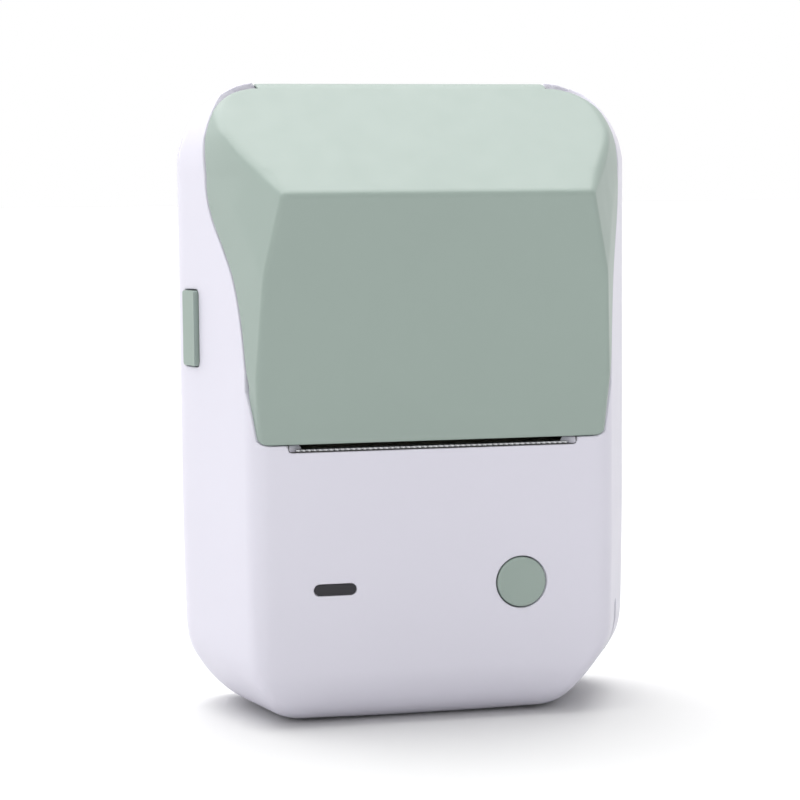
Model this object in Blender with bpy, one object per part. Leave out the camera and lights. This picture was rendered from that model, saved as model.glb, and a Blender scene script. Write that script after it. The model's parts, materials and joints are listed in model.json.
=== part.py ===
"""Hand-held thermal label printer: white case, hinged sage lid, drop-in label roll and a geared platen feed.

Sizes below are in millimetres and are turned into metres when a mesh is made. X is the width, the front
faces -Y, and Z = 0 is the flat base. Every named object is one separate physical piece.
"""

import math

import bmesh
import bpy
from mathutils import Matrix, Vector

MM = 0.001

# Case
HALF_WIDTH = 41.5
HEIGHT = 113.8
FRONT_Y = -14.0
BACK_Y = 20.0
SEAM_Y = 10.0
WALL = 2.0
LID_WALL = 1.8
GAP = 0.3
FLARE = math.radians(23.27)
FLARE_X = 32.2
TOP_RADIUS = 16.2
FRONT_EDGE_RADIUS = 4.5
REAR_EDGE_RADIUS = 11.0
REAR_TOP_RADIUS = 9.0
FRONT_FOOT_RADIUS = 10.0
REAR_FOOT_RADIUS = 5.0
CORNER_WIDE = 16.0
CORNER_TALL = 16.5
CORNER_POWER = 1.7
WIDEST_Y = 7.0
FRONT_CORNER = (14.5, 16.0)
FRONT_CORNER_POWER = 1.3

# Label slot and lid
SLOT_TOP_Z = 50.2
SLOT_HEIGHT = 1.3
SLOT_HALF = 26.0
NOSE_Y = -20.0
NOSE_Z = 93.6
NOSE_HALF = 27.4
LID_FOOT_HALF = 32.3
LID_FOOT_RADIUS = 3.0
SLANT = math.radians(33.5)
SLANT_RADIUS = 8.0
HINGE_Y = 14.0
HINGE_Z = 107.7
KNUCKLE_RADIUS = 7.0
KNUCKLE_HALF = 27.0

# Parting line on the case side, as (Y, Z) from the slot up to the shoulders
PARTING = [
    (-13.9, 50.2),
    (-13.3, 55.0),
    (-12.6, 59.4),
    (-11.9, 64.5),
    (-11.2, 69.5),
    (-10.1, 74.6),
    (-8.4, 79.6),
    (-5.8, 84.2),
    (-2.8, 89.0),
    (-1.2, 93.2),
]
# Its last stretch, at the case side and at the inner side of the shoulders. Both close in on the hinge
SHOULDER_OUTER_X = 37.5
SHOULDER_INNER_X = 28.0
SHOULDER_OUTER = [
    (-0.7, 97.6),
    (0.2, 101.0),
    (1.2, 103.6),
    (1.9, 106.0),
    (3.0, 108.4),
    (5.0, 110.6),
    (8.5, 113.2),
    (10.6, 114.8),
]
SHOULDER_INNER = [
    (-0.4, 97.6),
    (1.8, 101.4),
    (4.8, 104.6),
    (6.9, 106.6),
    (7.0, 108.3),
    (7.5, 110.3),
    (8.8, 112.4),
    (10.6, 114.0),
]

# Feed train
PLATEN_Y = -7.6
PLATEN_Z = 53.8
PLATEN_RADIUS = 4.1
LABEL_HALF = 25.0
TEETH_MODULE = 0.4
PLATEN_TEETH = 18
IDLER_TEETH = 18
SMALL_TEETH = 12
LARGE_TEETH = 30
MOTOR_TEETH = 10
MOTOR_Y = 10.2
MOTOR_Z = 50.0
MOTOR_RADIUS = 7.0
GEAR_IN = 28.75
GEAR_OUT = 30.2
GEAR2_IN = 30.5
GEAR2_OUT = 32.0

# Roll and its guides
ROLL_Y = 0.0
ROLL_Z = 80.2
ROLL_RADIUS = 14.6
CORE_RADIUS = 6.6
PLATE_IN = 27.3
PLATE_OUT = 28.4
BIN_RADIUS = 15.8
BIN_WALL = 1.4

# Head
HEAD_TOP_Z = 49.4
HEAD_PIVOT_Y = 0.8
HEAD_PIVOT_Z = 46.5

# Controls
BUTTON_X = 15.7
BUTTON_Z = 24.6
BUTTON_RADIUS = 4.45
PILL_X = -18.0
PILL_Z = 24.7
PILL_LENGTH = 7.5
PILL_HEIGHT = 1.95
RELEASE_Y = 4.4
RELEASE_Z = 69.9
RELEASE_TALL = 13.4
RELEASE_WIDE = 4.7

bpy.context.scene.unit_settings.system = "METRIC"
for leftover in list(bpy.data.objects):
    bpy.data.objects.remove(leftover, do_unlink=True)


def material(name, colour, roughness, metallic=0.0):
    made = bpy.data.materials.new(name)
    made.use_nodes = True
    shader = made.node_tree.nodes["Principled BSDF"]
    shader.inputs["Base Color"].default_value = (*colour, 1.0)
    shader.inputs["Roughness"].default_value = roughness
    shader.inputs["Metallic"].default_value = metallic
    made.diffuse_color = (*colour, 1.0)
    return made


WHITE = (0.72, 0.71, 0.76)
SAGE = (0.36, 0.44, 0.39)
DARK = (0.03, 0.03, 0.035)
FRAME_GREY = (0.10, 0.105, 0.11)
STEEL = (0.55, 0.55, 0.56)
ALUMINIUM = (0.66, 0.67, 0.68)
NYLON = (0.80, 0.78, 0.70)


def object_from(name, mesh_bm, look=None):
    """Turns a bmesh in millimetres into an object in metres, with its faces outward."""
    bmesh.ops.recalc_face_normals(mesh_bm, faces=mesh_bm.faces)
    bmesh.ops.scale(mesh_bm, vec=(MM, MM, MM), verts=mesh_bm.verts)
    mesh = bpy.data.meshes.new(name)
    mesh_bm.to_mesh(mesh)
    mesh_bm.free()
    made = bpy.data.objects.new(name, mesh)
    bpy.context.scene.collection.objects.link(made)
    if look:
        mesh.materials.append(look)
    return made


def placed(axis, along, first, second):
    """A point from its place along the axis and its two coordinates across it."""
    if axis == "X":
        return (along, first, second)
    if axis == "Y":
        return (first, along, second)
    return (first, second, along)


def prism(name, axis, outline, start, end, look=None):
    """An outline across the axis, pushed from start to end."""
    made = bmesh.new()
    low = [made.verts.new(placed(axis, start, a, b)) for a, b in outline]
    high = [made.verts.new(placed(axis, end, a, b)) for a, b in outline]
    made.faces.new(low)
    made.faces.new(list(reversed(high)))
    count = len(outline)
    for i in range(count):
        j = (i + 1) % count
        made.faces.new((low[i], high[i], high[j], low[j]))
    return object_from(name, made, look)


def loft(name, sections):
    """Outlines across X with equal counts of points, joined in order."""
    made = bmesh.new()
    rows = []
    for x, outline in sections:
        rows.append([made.verts.new((x, a, b)) for a, b in outline])
    made.faces.new(rows[0])
    made.faces.new(list(reversed(rows[-1])))
    for low, high in zip(rows, rows[1:]):
        for i in range(len(low)):
            j = (i + 1) % len(low)
            made.faces.new((low[i], high[i], high[j]))
            made.faces.new((low[i], high[j], low[j]))
    return object_from(name, made)


def box(name, x, y, z, look=None):
    return prism(name, "Z", [(x[0], y[0]), (x[1], y[0]), (x[1], y[1]), (x[0], y[1])], z[0], z[1], look)


def circle(a, b, radius, segments, start=0.0):
    turn = 2 * math.pi / segments
    return [
        (a + radius * math.cos(start + i * turn), b + radius * math.sin(start + i * turn))
        for i in range(segments)
    ]


def arc(a, b, radius, first, last, segments):
    """Points on an arc between two angles in degrees."""
    step = math.radians(last - first) / segments
    base = math.radians(first)
    return [
        (a + radius * math.cos(base + i * step), b + radius * math.sin(base + i * step))
        for i in range(segments + 1)
    ]


def rod(name, axis, a, b, radius, start, end, segments=24, look=None):
    return prism(name, axis, circle(a, b, radius, segments), start, end, look)


def rounded_bar(a, b, half_a, half_b, radius, segments=5):
    """A rounded rectangle outline."""
    points = []
    for sign_a, sign_b, first in ((1, 1, 0), (-1, 1, 90), (-1, -1, 180), (1, -1, 270)):
        centre_a = a + sign_a * (half_a - radius)
        centre_b = b + sign_b * (half_b - radius)
        points += arc(centre_a, centre_b, radius, first, first + 90, segments)
    return points


def tidy(mesh):
    """Merges the points and drops the needle faces that a Boolean leaves."""
    made = bmesh.new()
    made.from_mesh(mesh)
    bmesh.ops.remove_doubles(made, verts=made.verts, dist=0.004 * MM)
    bmesh.ops.dissolve_degenerate(made, edges=made.edges, dist=0.004 * MM)
    made.to_mesh(mesh)
    made.free()


def combine(target, other, operation):
    """Applies a Boolean of the other object to the target and removes the other object."""
    other.hide_render = True
    other.display_type = "WIRE"
    modifier = target.modifiers.new("combine", "BOOLEAN")
    modifier.operation = operation
    modifier.solver = "EXACT"
    modifier.object = other
    bpy.context.view_layer.update()
    graph = bpy.context.evaluated_depsgraph_get()
    result = bpy.data.meshes.new_from_object(target.evaluated_get(graph))
    target.modifiers.clear()
    tidy(result)
    old = target.data
    looks = list(old.materials)
    target.data = result
    result.materials.clear()
    for look in looks:
        result.materials.append(look)
    for face in result.polygons:
        face.material_index = 0
    bpy.data.meshes.remove(old)
    bpy.data.objects.remove(other, do_unlink=True)
    return target


def cut(target, *others):
    for other in others:
        combine(target, other, "DIFFERENCE")
    return target


def join(target, *others):
    for other in others:
        combine(target, other, "UNION")
    return target


def keep(target, other):
    return combine(target, other, "INTERSECT")


def smooth(target, degrees=35):
    """Shades round faces smooth and keeps the sharp edges."""
    mesh = target.data
    mesh.shade_smooth()
    mesh.set_sharp_from_angle(angle=math.radians(degrees))
    return target


def set_origin(target, point):
    """Moves the origin to a point in millimetres, leaving the mesh where it is."""
    place = Vector(point) * MM
    target.data.transform(Matrix.Translation(-place))
    target.location = place
    return target


# Outer surfaces: each is the inside of a list of planes (normal, distance from the origin)


def plane_through(normal, point):
    length = math.sqrt(sum(n * n for n in normal))
    unit = tuple(n / length for n in normal)
    return unit, sum(n * p for n, p in zip(unit, point))


def both_sides(planes):
    return planes + [((-n[0], n[1], n[2]), d) for n, d in planes]


def side_planes():
    """Flared side, its blend to the widest line, and the rounded rear edge, for +X and -X."""
    flare_normal = (math.cos(FLARE), -math.sin(FLARE), 0)
    planes = [plane_through(flare_normal, (FLARE_X, FRONT_Y, 0)), ((1, 0, 0), HALF_WIDTH)]
    blend = 7.0
    blend_x = HALF_WIDTH - blend
    flare_offset = planes[0][1]
    blend_y = (flare_normal[0] * blend_x - flare_offset + blend) / math.sin(FLARE)
    for share in (1 / 3, 2 / 3):
        turn = FLARE * share
        normal = (math.cos(turn), -math.sin(turn), 0)
        planes.append((normal, normal[0] * blend_x + normal[1] * blend_y + blend))
    rear_x = HALF_WIDTH - REAR_EDGE_RADIUS
    rear_y = BACK_Y - REAR_EDGE_RADIUS
    for i in range(1, 7):
        turn = math.radians(90 * i / 7)
        normal = (math.cos(turn), math.sin(turn), 0)
        planes.append((normal, normal[0] * rear_x + normal[1] * rear_y + REAR_EDGE_RADIUS))
    return both_sides(planes)


def top_planes():
    """Rounded top corners. They follow the flare at the front and run straight back from the widest line."""
    planes = []
    centre_z = HEIGHT - TOP_RADIUS
    widest_x = HALF_WIDTH - TOP_RADIUS
    front_x = FLARE_X - TOP_RADIUS
    slope = math.tan(FLARE)
    for i in range(1, 8):
        turn = math.radians(90 * i / 8)
        straight = (math.cos(turn), 0, math.sin(turn))
        planes.append((straight, straight[0] * widest_x + straight[2] * centre_z + TOP_RADIUS))
        swept = (math.cos(turn), -slope * math.cos(turn), math.sin(turn))
        touch = (front_x + TOP_RADIUS * math.cos(turn), FRONT_Y, centre_z + TOP_RADIUS * math.sin(turn))
        planes.append(plane_through(swept, touch))
    return both_sides(planes)


def corner_reach(normal_x, normal_z, centre, size, power):
    """How far a superellipse corner reaches in a direction across the case."""
    other = power / (power - 1)
    bulge = ((size[0] * normal_x) ** other + (size[1] * abs(normal_z)) ** other) ** (1 / other)
    return normal_x * centre[0] + normal_z * centre[1] + bulge


def foot_planes():
    """Bottom corners, cut deeper at the front than at the widest line, and the front and rear bottom edges."""
    planes = []
    wide_size = (CORNER_WIDE, CORNER_TALL)
    wide_centre = (HALF_WIDTH - CORNER_WIDE, CORNER_TALL)
    front_centre = (FLARE_X + 0.6 - FRONT_CORNER[0], FRONT_CORNER[1])
    for i in range(1, 11):
        turn = math.radians(90 * i / 11)
        across, down = math.cos(turn), -math.sin(turn)
        at_front = corner_reach(across, down, front_centre, FRONT_CORNER, FRONT_CORNER_POWER)
        at_wide = corner_reach(across, down, wide_centre, wide_size, CORNER_POWER)
        slope = (at_wide - at_front) / (WIDEST_Y - FRONT_Y)
        length = math.sqrt(1 + slope * slope)
        planes.append(((across / length, -slope / length, down / length), (at_front - slope * FRONT_Y) / length))
        planes.append(((across, 0, down), at_wide))
    planes = both_sides(planes)
    for i in range(1, 7):
        turn = math.radians(90 * i / 7)
        normal = (0, -math.cos(turn), -math.sin(turn))
        centre = (FRONT_Y + FRONT_FOOT_RADIUS, FRONT_FOOT_RADIUS)
        planes.append((normal, normal[1] * centre[0] + normal[2] * centre[1] + FRONT_FOOT_RADIUS))
    for i in range(1, 5):
        turn = math.radians(90 * i / 5)
        normal = (0, math.cos(turn), -math.sin(turn))
        centre = (BACK_Y - REAR_FOOT_RADIUS, REAR_FOOT_RADIUS)
        planes.append((normal, normal[1] * centre[0] + normal[2] * centre[1] + REAR_FOOT_RADIUS))
    return planes


def rear_top_planes():
    """The rear top edge, rounded all the way round the top corners."""
    planes = []
    centre = (HALF_WIDTH - TOP_RADIUS, HEIGHT - TOP_RADIUS)
    for i in range(0, 7):
        across = math.radians(90 * (1 - i / 6))
        radius = REAR_TOP_RADIUS
        reach = centre[0] * math.cos(across) + centre[1] * math.sin(across) + TOP_RADIUS - radius
        for k in range(1, 5):
            turn = math.radians(90 * k / 5)
            normal = (math.cos(across) * math.cos(turn), math.sin(turn), math.sin(across) * math.cos(turn))
            planes.append((normal, reach * math.cos(turn) + (BACK_Y - radius) * math.sin(turn) + radius))
    return both_sides(planes)


def slant_planes():
    """The slanted top and its rounding into the flat top, shared by the lid and the shoulders of the case."""
    planes = [plane_through((0, -math.sin(SLANT), math.cos(SLANT)), (0, NOSE_Y, NOSE_Z))]
    centre_z = HEIGHT - SLANT_RADIUS
    centre_y = NOSE_Y + ((centre_z - NOSE_Z) * math.cos(SLANT) + SLANT_RADIUS) / math.sin(SLANT)
    for share in (0.25, 0.5, 0.75):
        turn = SLANT * share
        normal = (0, -math.sin(turn), math.cos(turn))
        planes.append((normal, normal[1] * centre_y + normal[2] * centre_z + SLANT_RADIUS))
    return planes


def case_planes():
    planes = [((0, -1, 0), -FRONT_Y), ((0, 1, 0), BACK_Y), ((0, 0, -1), 0.0), ((0, 0, 1), HEIGHT)]
    planes += side_planes() + top_planes() + foot_planes() + rear_top_planes() + slant_planes()
    edge_y = FRONT_Y + FRONT_EDGE_RADIUS
    flare_normal = (math.cos(FLARE), -math.sin(FLARE))
    flare_offset = flare_normal[0] * FLARE_X + flare_normal[1] * FRONT_Y
    edge_x = (flare_offset - FRONT_EDGE_RADIUS - flare_normal[1] * edge_y) / flare_normal[0]
    rounds = []
    for i in range(1, 5):
        turn = -math.pi / 2 + (math.pi / 2 - FLARE) * i / 5
        normal = (math.cos(turn), math.sin(turn), 0)
        rounds.append((normal, normal[0] * edge_x + normal[1] * edge_y + FRONT_EDGE_RADIUS))
    return planes + both_sides(rounds)


def lid_planes():
    """Leaning front, slanted top, and the two side facets that narrow the lid above and below its widest line."""
    nose = (NOSE_HALF, NOSE_Y, NOSE_Z)
    widest = (32.3, -17.4, 73.3)
    planes = [((0, 1, 0), BACK_Y), ((0, 0, 1), HEIGHT)]
    planes.append(plane_through((0, -41.4, -6.0), nose))
    planes += both_sides([plane_through((0.849, -0.517, 0.109), nose)])
    planes += both_sides([plane_through((0.940, -0.323, -0.105), widest)])
    return planes + side_planes() + top_planes() + rear_top_planes() + slant_planes()


def inside_of(name, planes, inset=0.0, look=None):
    """The convex solid inside every plane, each moved inward by the inset."""
    made = bmesh.new()
    bmesh.ops.create_cube(made, size=400.0)
    for normal, distance in planes:
        place = Vector(normal) * (distance - inset)
        geometry = made.verts[:] + made.edges[:] + made.faces[:]
        result = bmesh.ops.bisect_plane(
            made, geom=geometry, dist=1e-4, plane_co=place, plane_no=normal, clear_outer=True
        )
        rim = [part for part in result["geom_cut"] if isinstance(part, bmesh.types.BMEdge)]
        if len(rim) > 2:
            bmesh.ops.contextual_create(made, geom=rim)
    bmesh.ops.remove_doubles(made, verts=made.verts, dist=0.02)
    bmesh.ops.dissolve_degenerate(made, edges=made.edges, dist=0.01)
    return object_from(name, made, look)


def hinge_arc(radius, first, last, segments=8):
    return arc(HINGE_Y, HINGE_Z, radius, first, last, segments)


def ahead_of_parting(name, shift):
    """Everything in front of the parting line, moved back by the shift."""
    sections = []
    for x in (-60, -SHOULDER_OUTER_X, -SHOULDER_INNER_X, SHOULDER_INNER_X, SHOULDER_OUTER_X, 60):
        last = SHOULDER_INNER if abs(x) == SHOULDER_INNER_X else SHOULDER_OUTER
        line = [(y + shift, z - shift * max(0.0, (z - 100) / 14)) for y, z in PARTING + last]
        outline = line + [(10.8 + shift, HEIGHT + 20), (-60, HEIGHT + 20), (-60, SLOT_TOP_Z)]
        sections.append((x, outline))
    return loft(name, sections)


def lid_foot(name, half, radius, bottom, depth, top=70.0):
    """The lower front of the lid, with rounded bottom corners in the front view."""
    outline = arc(half - radius, bottom + radius, radius, -90, 0, 6)
    outline += [(half, top), (-half, top)]
    outline += arc(-half + radius, bottom + radius, radius, 180, 270, 6)
    return prism(name, "Y", outline, -60, depth)


def knuckle(name, radius, half):
    """The round rear end of the lid, wrapped over the hinge."""
    outline = [(HINGE_Y, HINGE_Z)] + hinge_arc(radius, 150, -56, 22)
    return prism(name, "X", outline, -half, half)


def case_shell(name, look):
    shell = inside_of(name, case_planes(), 0.0, look)
    return cut(shell, inside_of("hollow", case_planes(), WALL))


def knuckle_notch():
    """Room for the lid's roof and knuckle between the two shoulders of the case."""
    half = KNUCKLE_HALF + 0.4
    notch = rod("notch", "X", HINGE_Y, HINGE_Z, KNUCKLE_RADIUS + 0.4, -half, half, 48)
    return join(notch, box("roof_gap", (-half, half), (-5.0, HINGE_Y + 0.2), (HINGE_Z - 0.5, HEIGHT + 10)))


def make_body_shell(look):
    """Front and sides of the white case, open behind the seam and above the parting line."""
    shell = case_shell("body_shell", look)
    behind = box("behind", (-60, 60), (SEAM_Y - GAP / 2, 60), (-20, 160))
    cut(shell, behind, ahead_of_parting("front", GAP), knuckle_notch())
    # The parting line starts on the front at the slot lip, with rounded corners.
    cut(shell, lid_foot("foot", LID_FOOT_HALF, LID_FOOT_RADIUS, SLOT_TOP_Z, FRONT_Y + 2.2))
    slot = rounded_bar(0, SLOT_TOP_Z - SLOT_HEIGHT + 3, SLOT_HALF, 3, 0.6, 3)
    cut(shell, prism("slot", "Y", slot, -30, -9))
    cut(shell, rod("button_hole", "Y", BUTTON_X, BUTTON_Z, BUTTON_RADIUS + 0.28, -30, -9, 40))
    pill = rounded_bar(PILL_X, PILL_Z, PILL_LENGTH / 2 + 0.1, PILL_HEIGHT / 2 + 0.1, PILL_HEIGHT / 2, 5)
    cut(shell, prism("pill_hole", "Y", pill, -30, -9))
    cut(shell, box_on_side("release_hole", RELEASE_WIDE + 0.5, RELEASE_TALL + 0.5, -6, 4))
    usb = rounded_bar(-3.8, 14.0, 1.85, 4.75, 1.6, 5)
    cut(shell, prism("usb_hole", "X", usb, 30, 60))
    for side in (-1, 1):
        inner, outer = sorted((side * 26.2, side * 30.4))
        join(shell, box("post", (inner, outer), (3.0, SEAM_Y - GAP / 2 - 0.3), (1.0, 11.4)))
        cut(shell, rod("post_bore", "Y", side * 28.3, 8.6, 1.3, 4.0, 20, 16))
    return smooth(shell, 25)


def make_rear_cover(look):
    """Back panel of the case with recesses for four screws and a notch for the lid knuckle."""
    shell = case_shell("rear_cover", look)
    cut(shell, box("ahead", (-60, 60), (-60, SEAM_Y + GAP / 2), (-20, 160)))
    cut(shell, knuckle_notch(), ahead_of_parting("front", GAP))
    for x, z in SCREWS:
        cut(shell, rod("recess", "Y", x, z, 2.5, BACK_Y - 1.3, 40, 24))
        cut(shell, rod("through", "Y", x, z, 1.3, 5, 40, 16))
    return smooth(shell, 25)


SCREWS = [(-28.3, 8.6), (28.3, 8.6), (-22.0, 39.9), (22.0, 39.9)]


def side_frame(side):
    """Axes on the flared side at the release button: along the wall, outward, up."""
    outward = Vector((side * math.cos(FLARE), -math.sin(FLARE), 0))
    along = Vector((side * math.sin(FLARE), math.cos(FLARE), 0))
    x = side * (FLARE_X + math.tan(FLARE) * (RELEASE_Y - FRONT_Y))
    return Vector((x, RELEASE_Y, RELEASE_Z)), along, outward


def box_on_side(name, wide, tall, low, high, shift=0.0, look=None):
    """A block on the left flared side, from low to high along the outward direction."""
    place, along, outward = side_frame(-1)
    place = place + along * shift
    made = bmesh.new()
    corners = []
    for level in (low, high):
        for a, b in rounded_bar(0, 0, wide / 2, tall / 2, min(0.6, wide / 2 - 0.05), 3):
            corners.append(made.verts.new(place + along * a + outward * level + Vector((0, 0, b))))
    count = len(corners) // 2
    made.faces.new(corners[:count])
    made.faces.new(list(reversed(corners[count:])))
    for i in range(count):
        j = (i + 1) % count
        made.faces.new((corners[i], corners[count + i], corners[count + j], corners[j]))
    return object_from(name, made, look)


def lid_region():
    """Where the lid is: ahead of the parting line, and a front wall that reaches a little behind it."""
    region = ahead_of_parting("region", 0.0)
    join(region, box("front_wall", (-30.0, 30.0), (-58, -12.05), (40, 71)))
    outline = [(-70, 30), (70, 30), (70, 53.4), (LID_FOOT_HALF, 53.4)]
    outline += arc(LID_FOOT_HALF - LID_FOOT_RADIUS, SLOT_TOP_Z + LID_FOOT_RADIUS, LID_FOOT_RADIUS, 0, -90, 6)
    outline += arc(-LID_FOOT_HALF + LID_FOOT_RADIUS, SLOT_TOP_Z + LID_FOOT_RADIUS, LID_FOOT_RADIUS, 270, 180, 6)
    outline += [(-LID_FOOT_HALF, 53.4), (-70, 53.4)]
    return cut(region, prism("below", "Y", outline, -70, 70))


def make_lid_cover(look):
    """Sage lid: a thin shell ahead of the parting line, with the knuckle over the hinge."""
    shell = inside_of("lid_cover", lid_planes(), 0.0, look)
    cut(shell, inside_of("hollow", lid_planes(), LID_WALL))
    keep(shell, lid_region())
    wrap = knuckle("wrap", KNUCKLE_RADIUS, KNUCKLE_HALF)
    join(wrap, box("roof", (-KNUCKLE_HALF, KNUCKLE_HALF), (1.0, HINGE_Y + 0.3), (HINGE_Z + 0.2, HEIGHT + 5)))
    keep(wrap, inside_of("outside", lid_planes(), 0.02))
    inner_roof = inside_of("inner_roof", lid_planes(), LID_WALL - 0.1)
    keep(inner_roof, box("roof_zone", (-60, 60), (-30, HINGE_Y - 1.0), (90, 130)))
    cut(wrap, inner_roof)
    cut(wrap, rod("knuckle_hollow", "X", HINGE_Y, HINGE_Z, 3.5, -60, 60, 32))
    join(shell, wrap)
    return smooth(set_origin(shell, (0, HINGE_Y, HINGE_Z)), 14)


def make_lid_frame(look):
    """Inner frame of the lid: two cheeks that carry the platen and turn on the hinge pin, and two beams."""
    outer = [
        (-11.2, 50.9), (-5.2, 50.9), (-4.2, 53.8), (-5.4, 57.4), (-9.6, 60.5), (-11.0, 76.0),
        (-11.2, 88.5), (-8.6, 91.6), (11.6, 104.9), (14.2, 104.7), (16.7, 107.7), (14.6, 110.4),
        (12.3, 110.2), (-15.5, 91.6), (-16.2, 88.0), (-14.6, 72.0), (-12.9, 60.0),
    ]
    cheeks = []
    for side in (-1, 1):
        inner, outer_x = sorted((side * 25.4, side * 26.8))
        cheek = prism("lid_frame", "X", outer, inner, outer_x, look)
        cheeks.append(cheek)
    frame = cheeks[0]
    join(frame, cheeks[1])
    join(frame, box("low_beam", (-26.0, 26.0), (-12.5, -11.2), (58.6, 63.4)))
    join(frame, box("high_beam", (-26.0, 26.0), (-15.6, -12.4), (89.6, 91.4)))
    # The catch pin for the latch reaches past the side plate.
    join(frame, rod("catch", "X", -12.0, 66.0, 0.9, -29.6, -26.0, 16))
    cut(frame, rod("hinge_bore", "X", HINGE_Y, HINGE_Z, 1.3, -60, 60, 24))
    cut(frame, rod("bush_bore", "X", PLATEN_Y, PLATEN_Z, 2.2, -60, 60, 24))
    for side in (-1, 1):
        cut(frame, rod("screw_bore", "Y", side * 20.0, 61.0, 0.95, -30, 0, 16))
    return smooth(set_origin(frame, (0, HINGE_Y, HINGE_Z)))


def plate_outline():
    """Side plate of the chassis, with an open seat for the platen shaft."""
    outline = [(-11.5, 35.8), (13.0, 35.8), (16.9, 40.0), (17.2, 60.0), (17.2, 98.0), (16.3, 104.5)]
    outline += arc(HINGE_Y, HINGE_Z, 2.5, -25, 160, 7)
    outline += [(10.6, 103.4), (4.0, 98.0), (-4.0, 94.0), (-8.6, 87.0), (-9.4, 71.0), (-8.6, 59.5), (-6.4, 57.6)]
    outline += arc(PLATEN_Y, PLATEN_Z, 1.9, 68, -106, 10)
    outline += [(-11.2, 51.4)]
    return outline


def make_chassis(look):
    """Inner frame of the printer: two side plates, the roll bin, trays and gear axles, in one piece."""
    frame = prism("chassis", "X", plate_outline(), PLATE_IN, PLATE_OUT, look)
    join(frame, prism("left_plate", "X", plate_outline(), -PLATE_OUT, -PLATE_IN))
    bin_arc = arc(ROLL_Y, ROLL_Z, BIN_RADIUS + BIN_WALL, -105, 30, 20)
    bin_arc += arc(ROLL_Y, ROLL_Z, BIN_RADIUS, 30, -105, 20)
    wide = PLATE_IN + 0.5
    join(frame, prism("bin", "X", bin_arc, -wide, wide))
    join(frame, box("tray", (-wide, wide), (-4.6, 7.0), (59.0, 60.2)))
    join(frame, box("guide_wall", (-wide, wide), (0.2, 1.6), (51.0, 59.6)))
    join(frame, box("shelf", (-wide, wide), (-11.3, 12.6), (36.0, 37.4)))
    for side in (-1, 1):
        # Windows for the roll guides to slide outward through the side plates.
        near, far = sorted((side * 25.0, side * 40.0))
        cut(frame, rod("window", "X", ROLL_Y, ROLL_Z, 8.7, near, far, 32))
        cut(frame, box("slit", (near, far), (-2.6, 2.6), (60.25, 76.0)))
        cut(frame, box("foot_slit", (near, far), (-4.3, 4.3), (60.25, 62.3)))
        join(frame, rod("post", "Y", side * 22.0, 39.9, 2.3, 5.0, 17.4, 20))
        join(frame, box("web", (side * 22.0 - 0.8, side * 22.0 + 0.8), (5.0, 12.4), (36.6, 40.0)))
        cut(frame, rod("post_bore", "Y", side * 22.0, 39.9, 1.3, 6.0, 30, 16))
        head = 1.25
        cut(frame, rod("pivot_bore", "X", HEAD_PIVOT_Y, HEAD_PIVOT_Z, head, near, far, 20))
        cut(frame, rod("hinge_bore", "X", HINGE_Y, HINGE_Z, 1.35, near, far, 20))
        seat = near if side < 0 else far
        cut(frame, rod("spring_seat", "Z", side * 14.0, -8.4, 2.75, 36.9, 40, 24))
    cut(frame, rod("motor_bore", "X", MOTOR_Y, MOTOR_Z, 2.6, 20, 40, 24))
    for y, z, reach in ((IDLER[0], IDLER[1], GEAR_OUT + 0.05), (CLUSTER[0], CLUSTER[1], GEAR2_OUT + 0.7)):
        join(frame, rod("axle", "X", y, z, 0.9, PLATE_IN + 0.2, reach, 16))
    join(frame, rod("pinion_axle", "Z", 0.0, 0.0, 0.6, 59.8, 62.3, 16))
    join(frame, rod("latch_axle", "X", -5.5, 64.5, 0.9, -30.3, -PLATE_IN - 0.2, 16))
    return smooth(frame)


# Gear centres: the idler stands straight behind the platen gear along the lid's opening path.


def unit(y, z):
    length = math.hypot(y, z)
    return y / length, z / length


def gear_centres():
    path = unit(HINGE_Z - PLATEN_Z, PLATEN_Y - HINGE_Y)
    reach = TEETH_MODULE * (PLATEN_TEETH + IDLER_TEETH) / 2
    idler = (PLATEN_Y + reach * path[0], PLATEN_Z + reach * path[1])
    first = TEETH_MODULE * (IDLER_TEETH + SMALL_TEETH) / 2
    second = TEETH_MODULE * (LARGE_TEETH + MOTOR_TEETH) / 2
    span_y = MOTOR_Y - idler[0]
    span_z = MOTOR_Z - idler[1]
    span = math.hypot(span_y, span_z)
    along = (first**2 - second**2 + span**2) / (2 * span)
    across = math.sqrt(first**2 - along**2)
    uy, uz = span_y / span, span_z / span
    cluster = (idler[0] + along * uy + across * uz, idler[1] + along * uz - across * uy)
    return idler, cluster


IDLER, CLUSTER = gear_centres()


def direction(start, end):
    return math.atan2(end[1] - start[1], end[0] - start[0])


def meshing_phase(phase, teeth, other_teeth, angle):
    """Phase of a gear that meshes with one of the given phase, seen from it at the given angle."""
    left_over = (angle - phase) % (2 * math.pi / teeth)
    return angle + math.pi + left_over * teeth / other_teeth + math.pi / other_teeth


def gear_outline(a, b, teeth, phase):
    quarter = math.pi / (2 * teeth)
    root = TEETH_MODULE * (teeth / 2 - 1.2)
    tip = TEETH_MODULE * (teeth / 2 + 0.85)
    points = []
    for i in range(teeth):
        middle = phase + 2 * math.pi * i / teeth
        for radius, share in ((root, -1.2), (tip, -0.42), (tip, 0.42), (root, 1.2)):
            turn = middle + share * quarter
            points.append((a + radius * math.cos(turn), b + radius * math.sin(turn)))
    return points


def gear(name, centre, teeth, phase, start, end, look=None):
    return prism(name, "X", gear_outline(centre[0], centre[1], teeth, phase), start, end, look)


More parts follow.
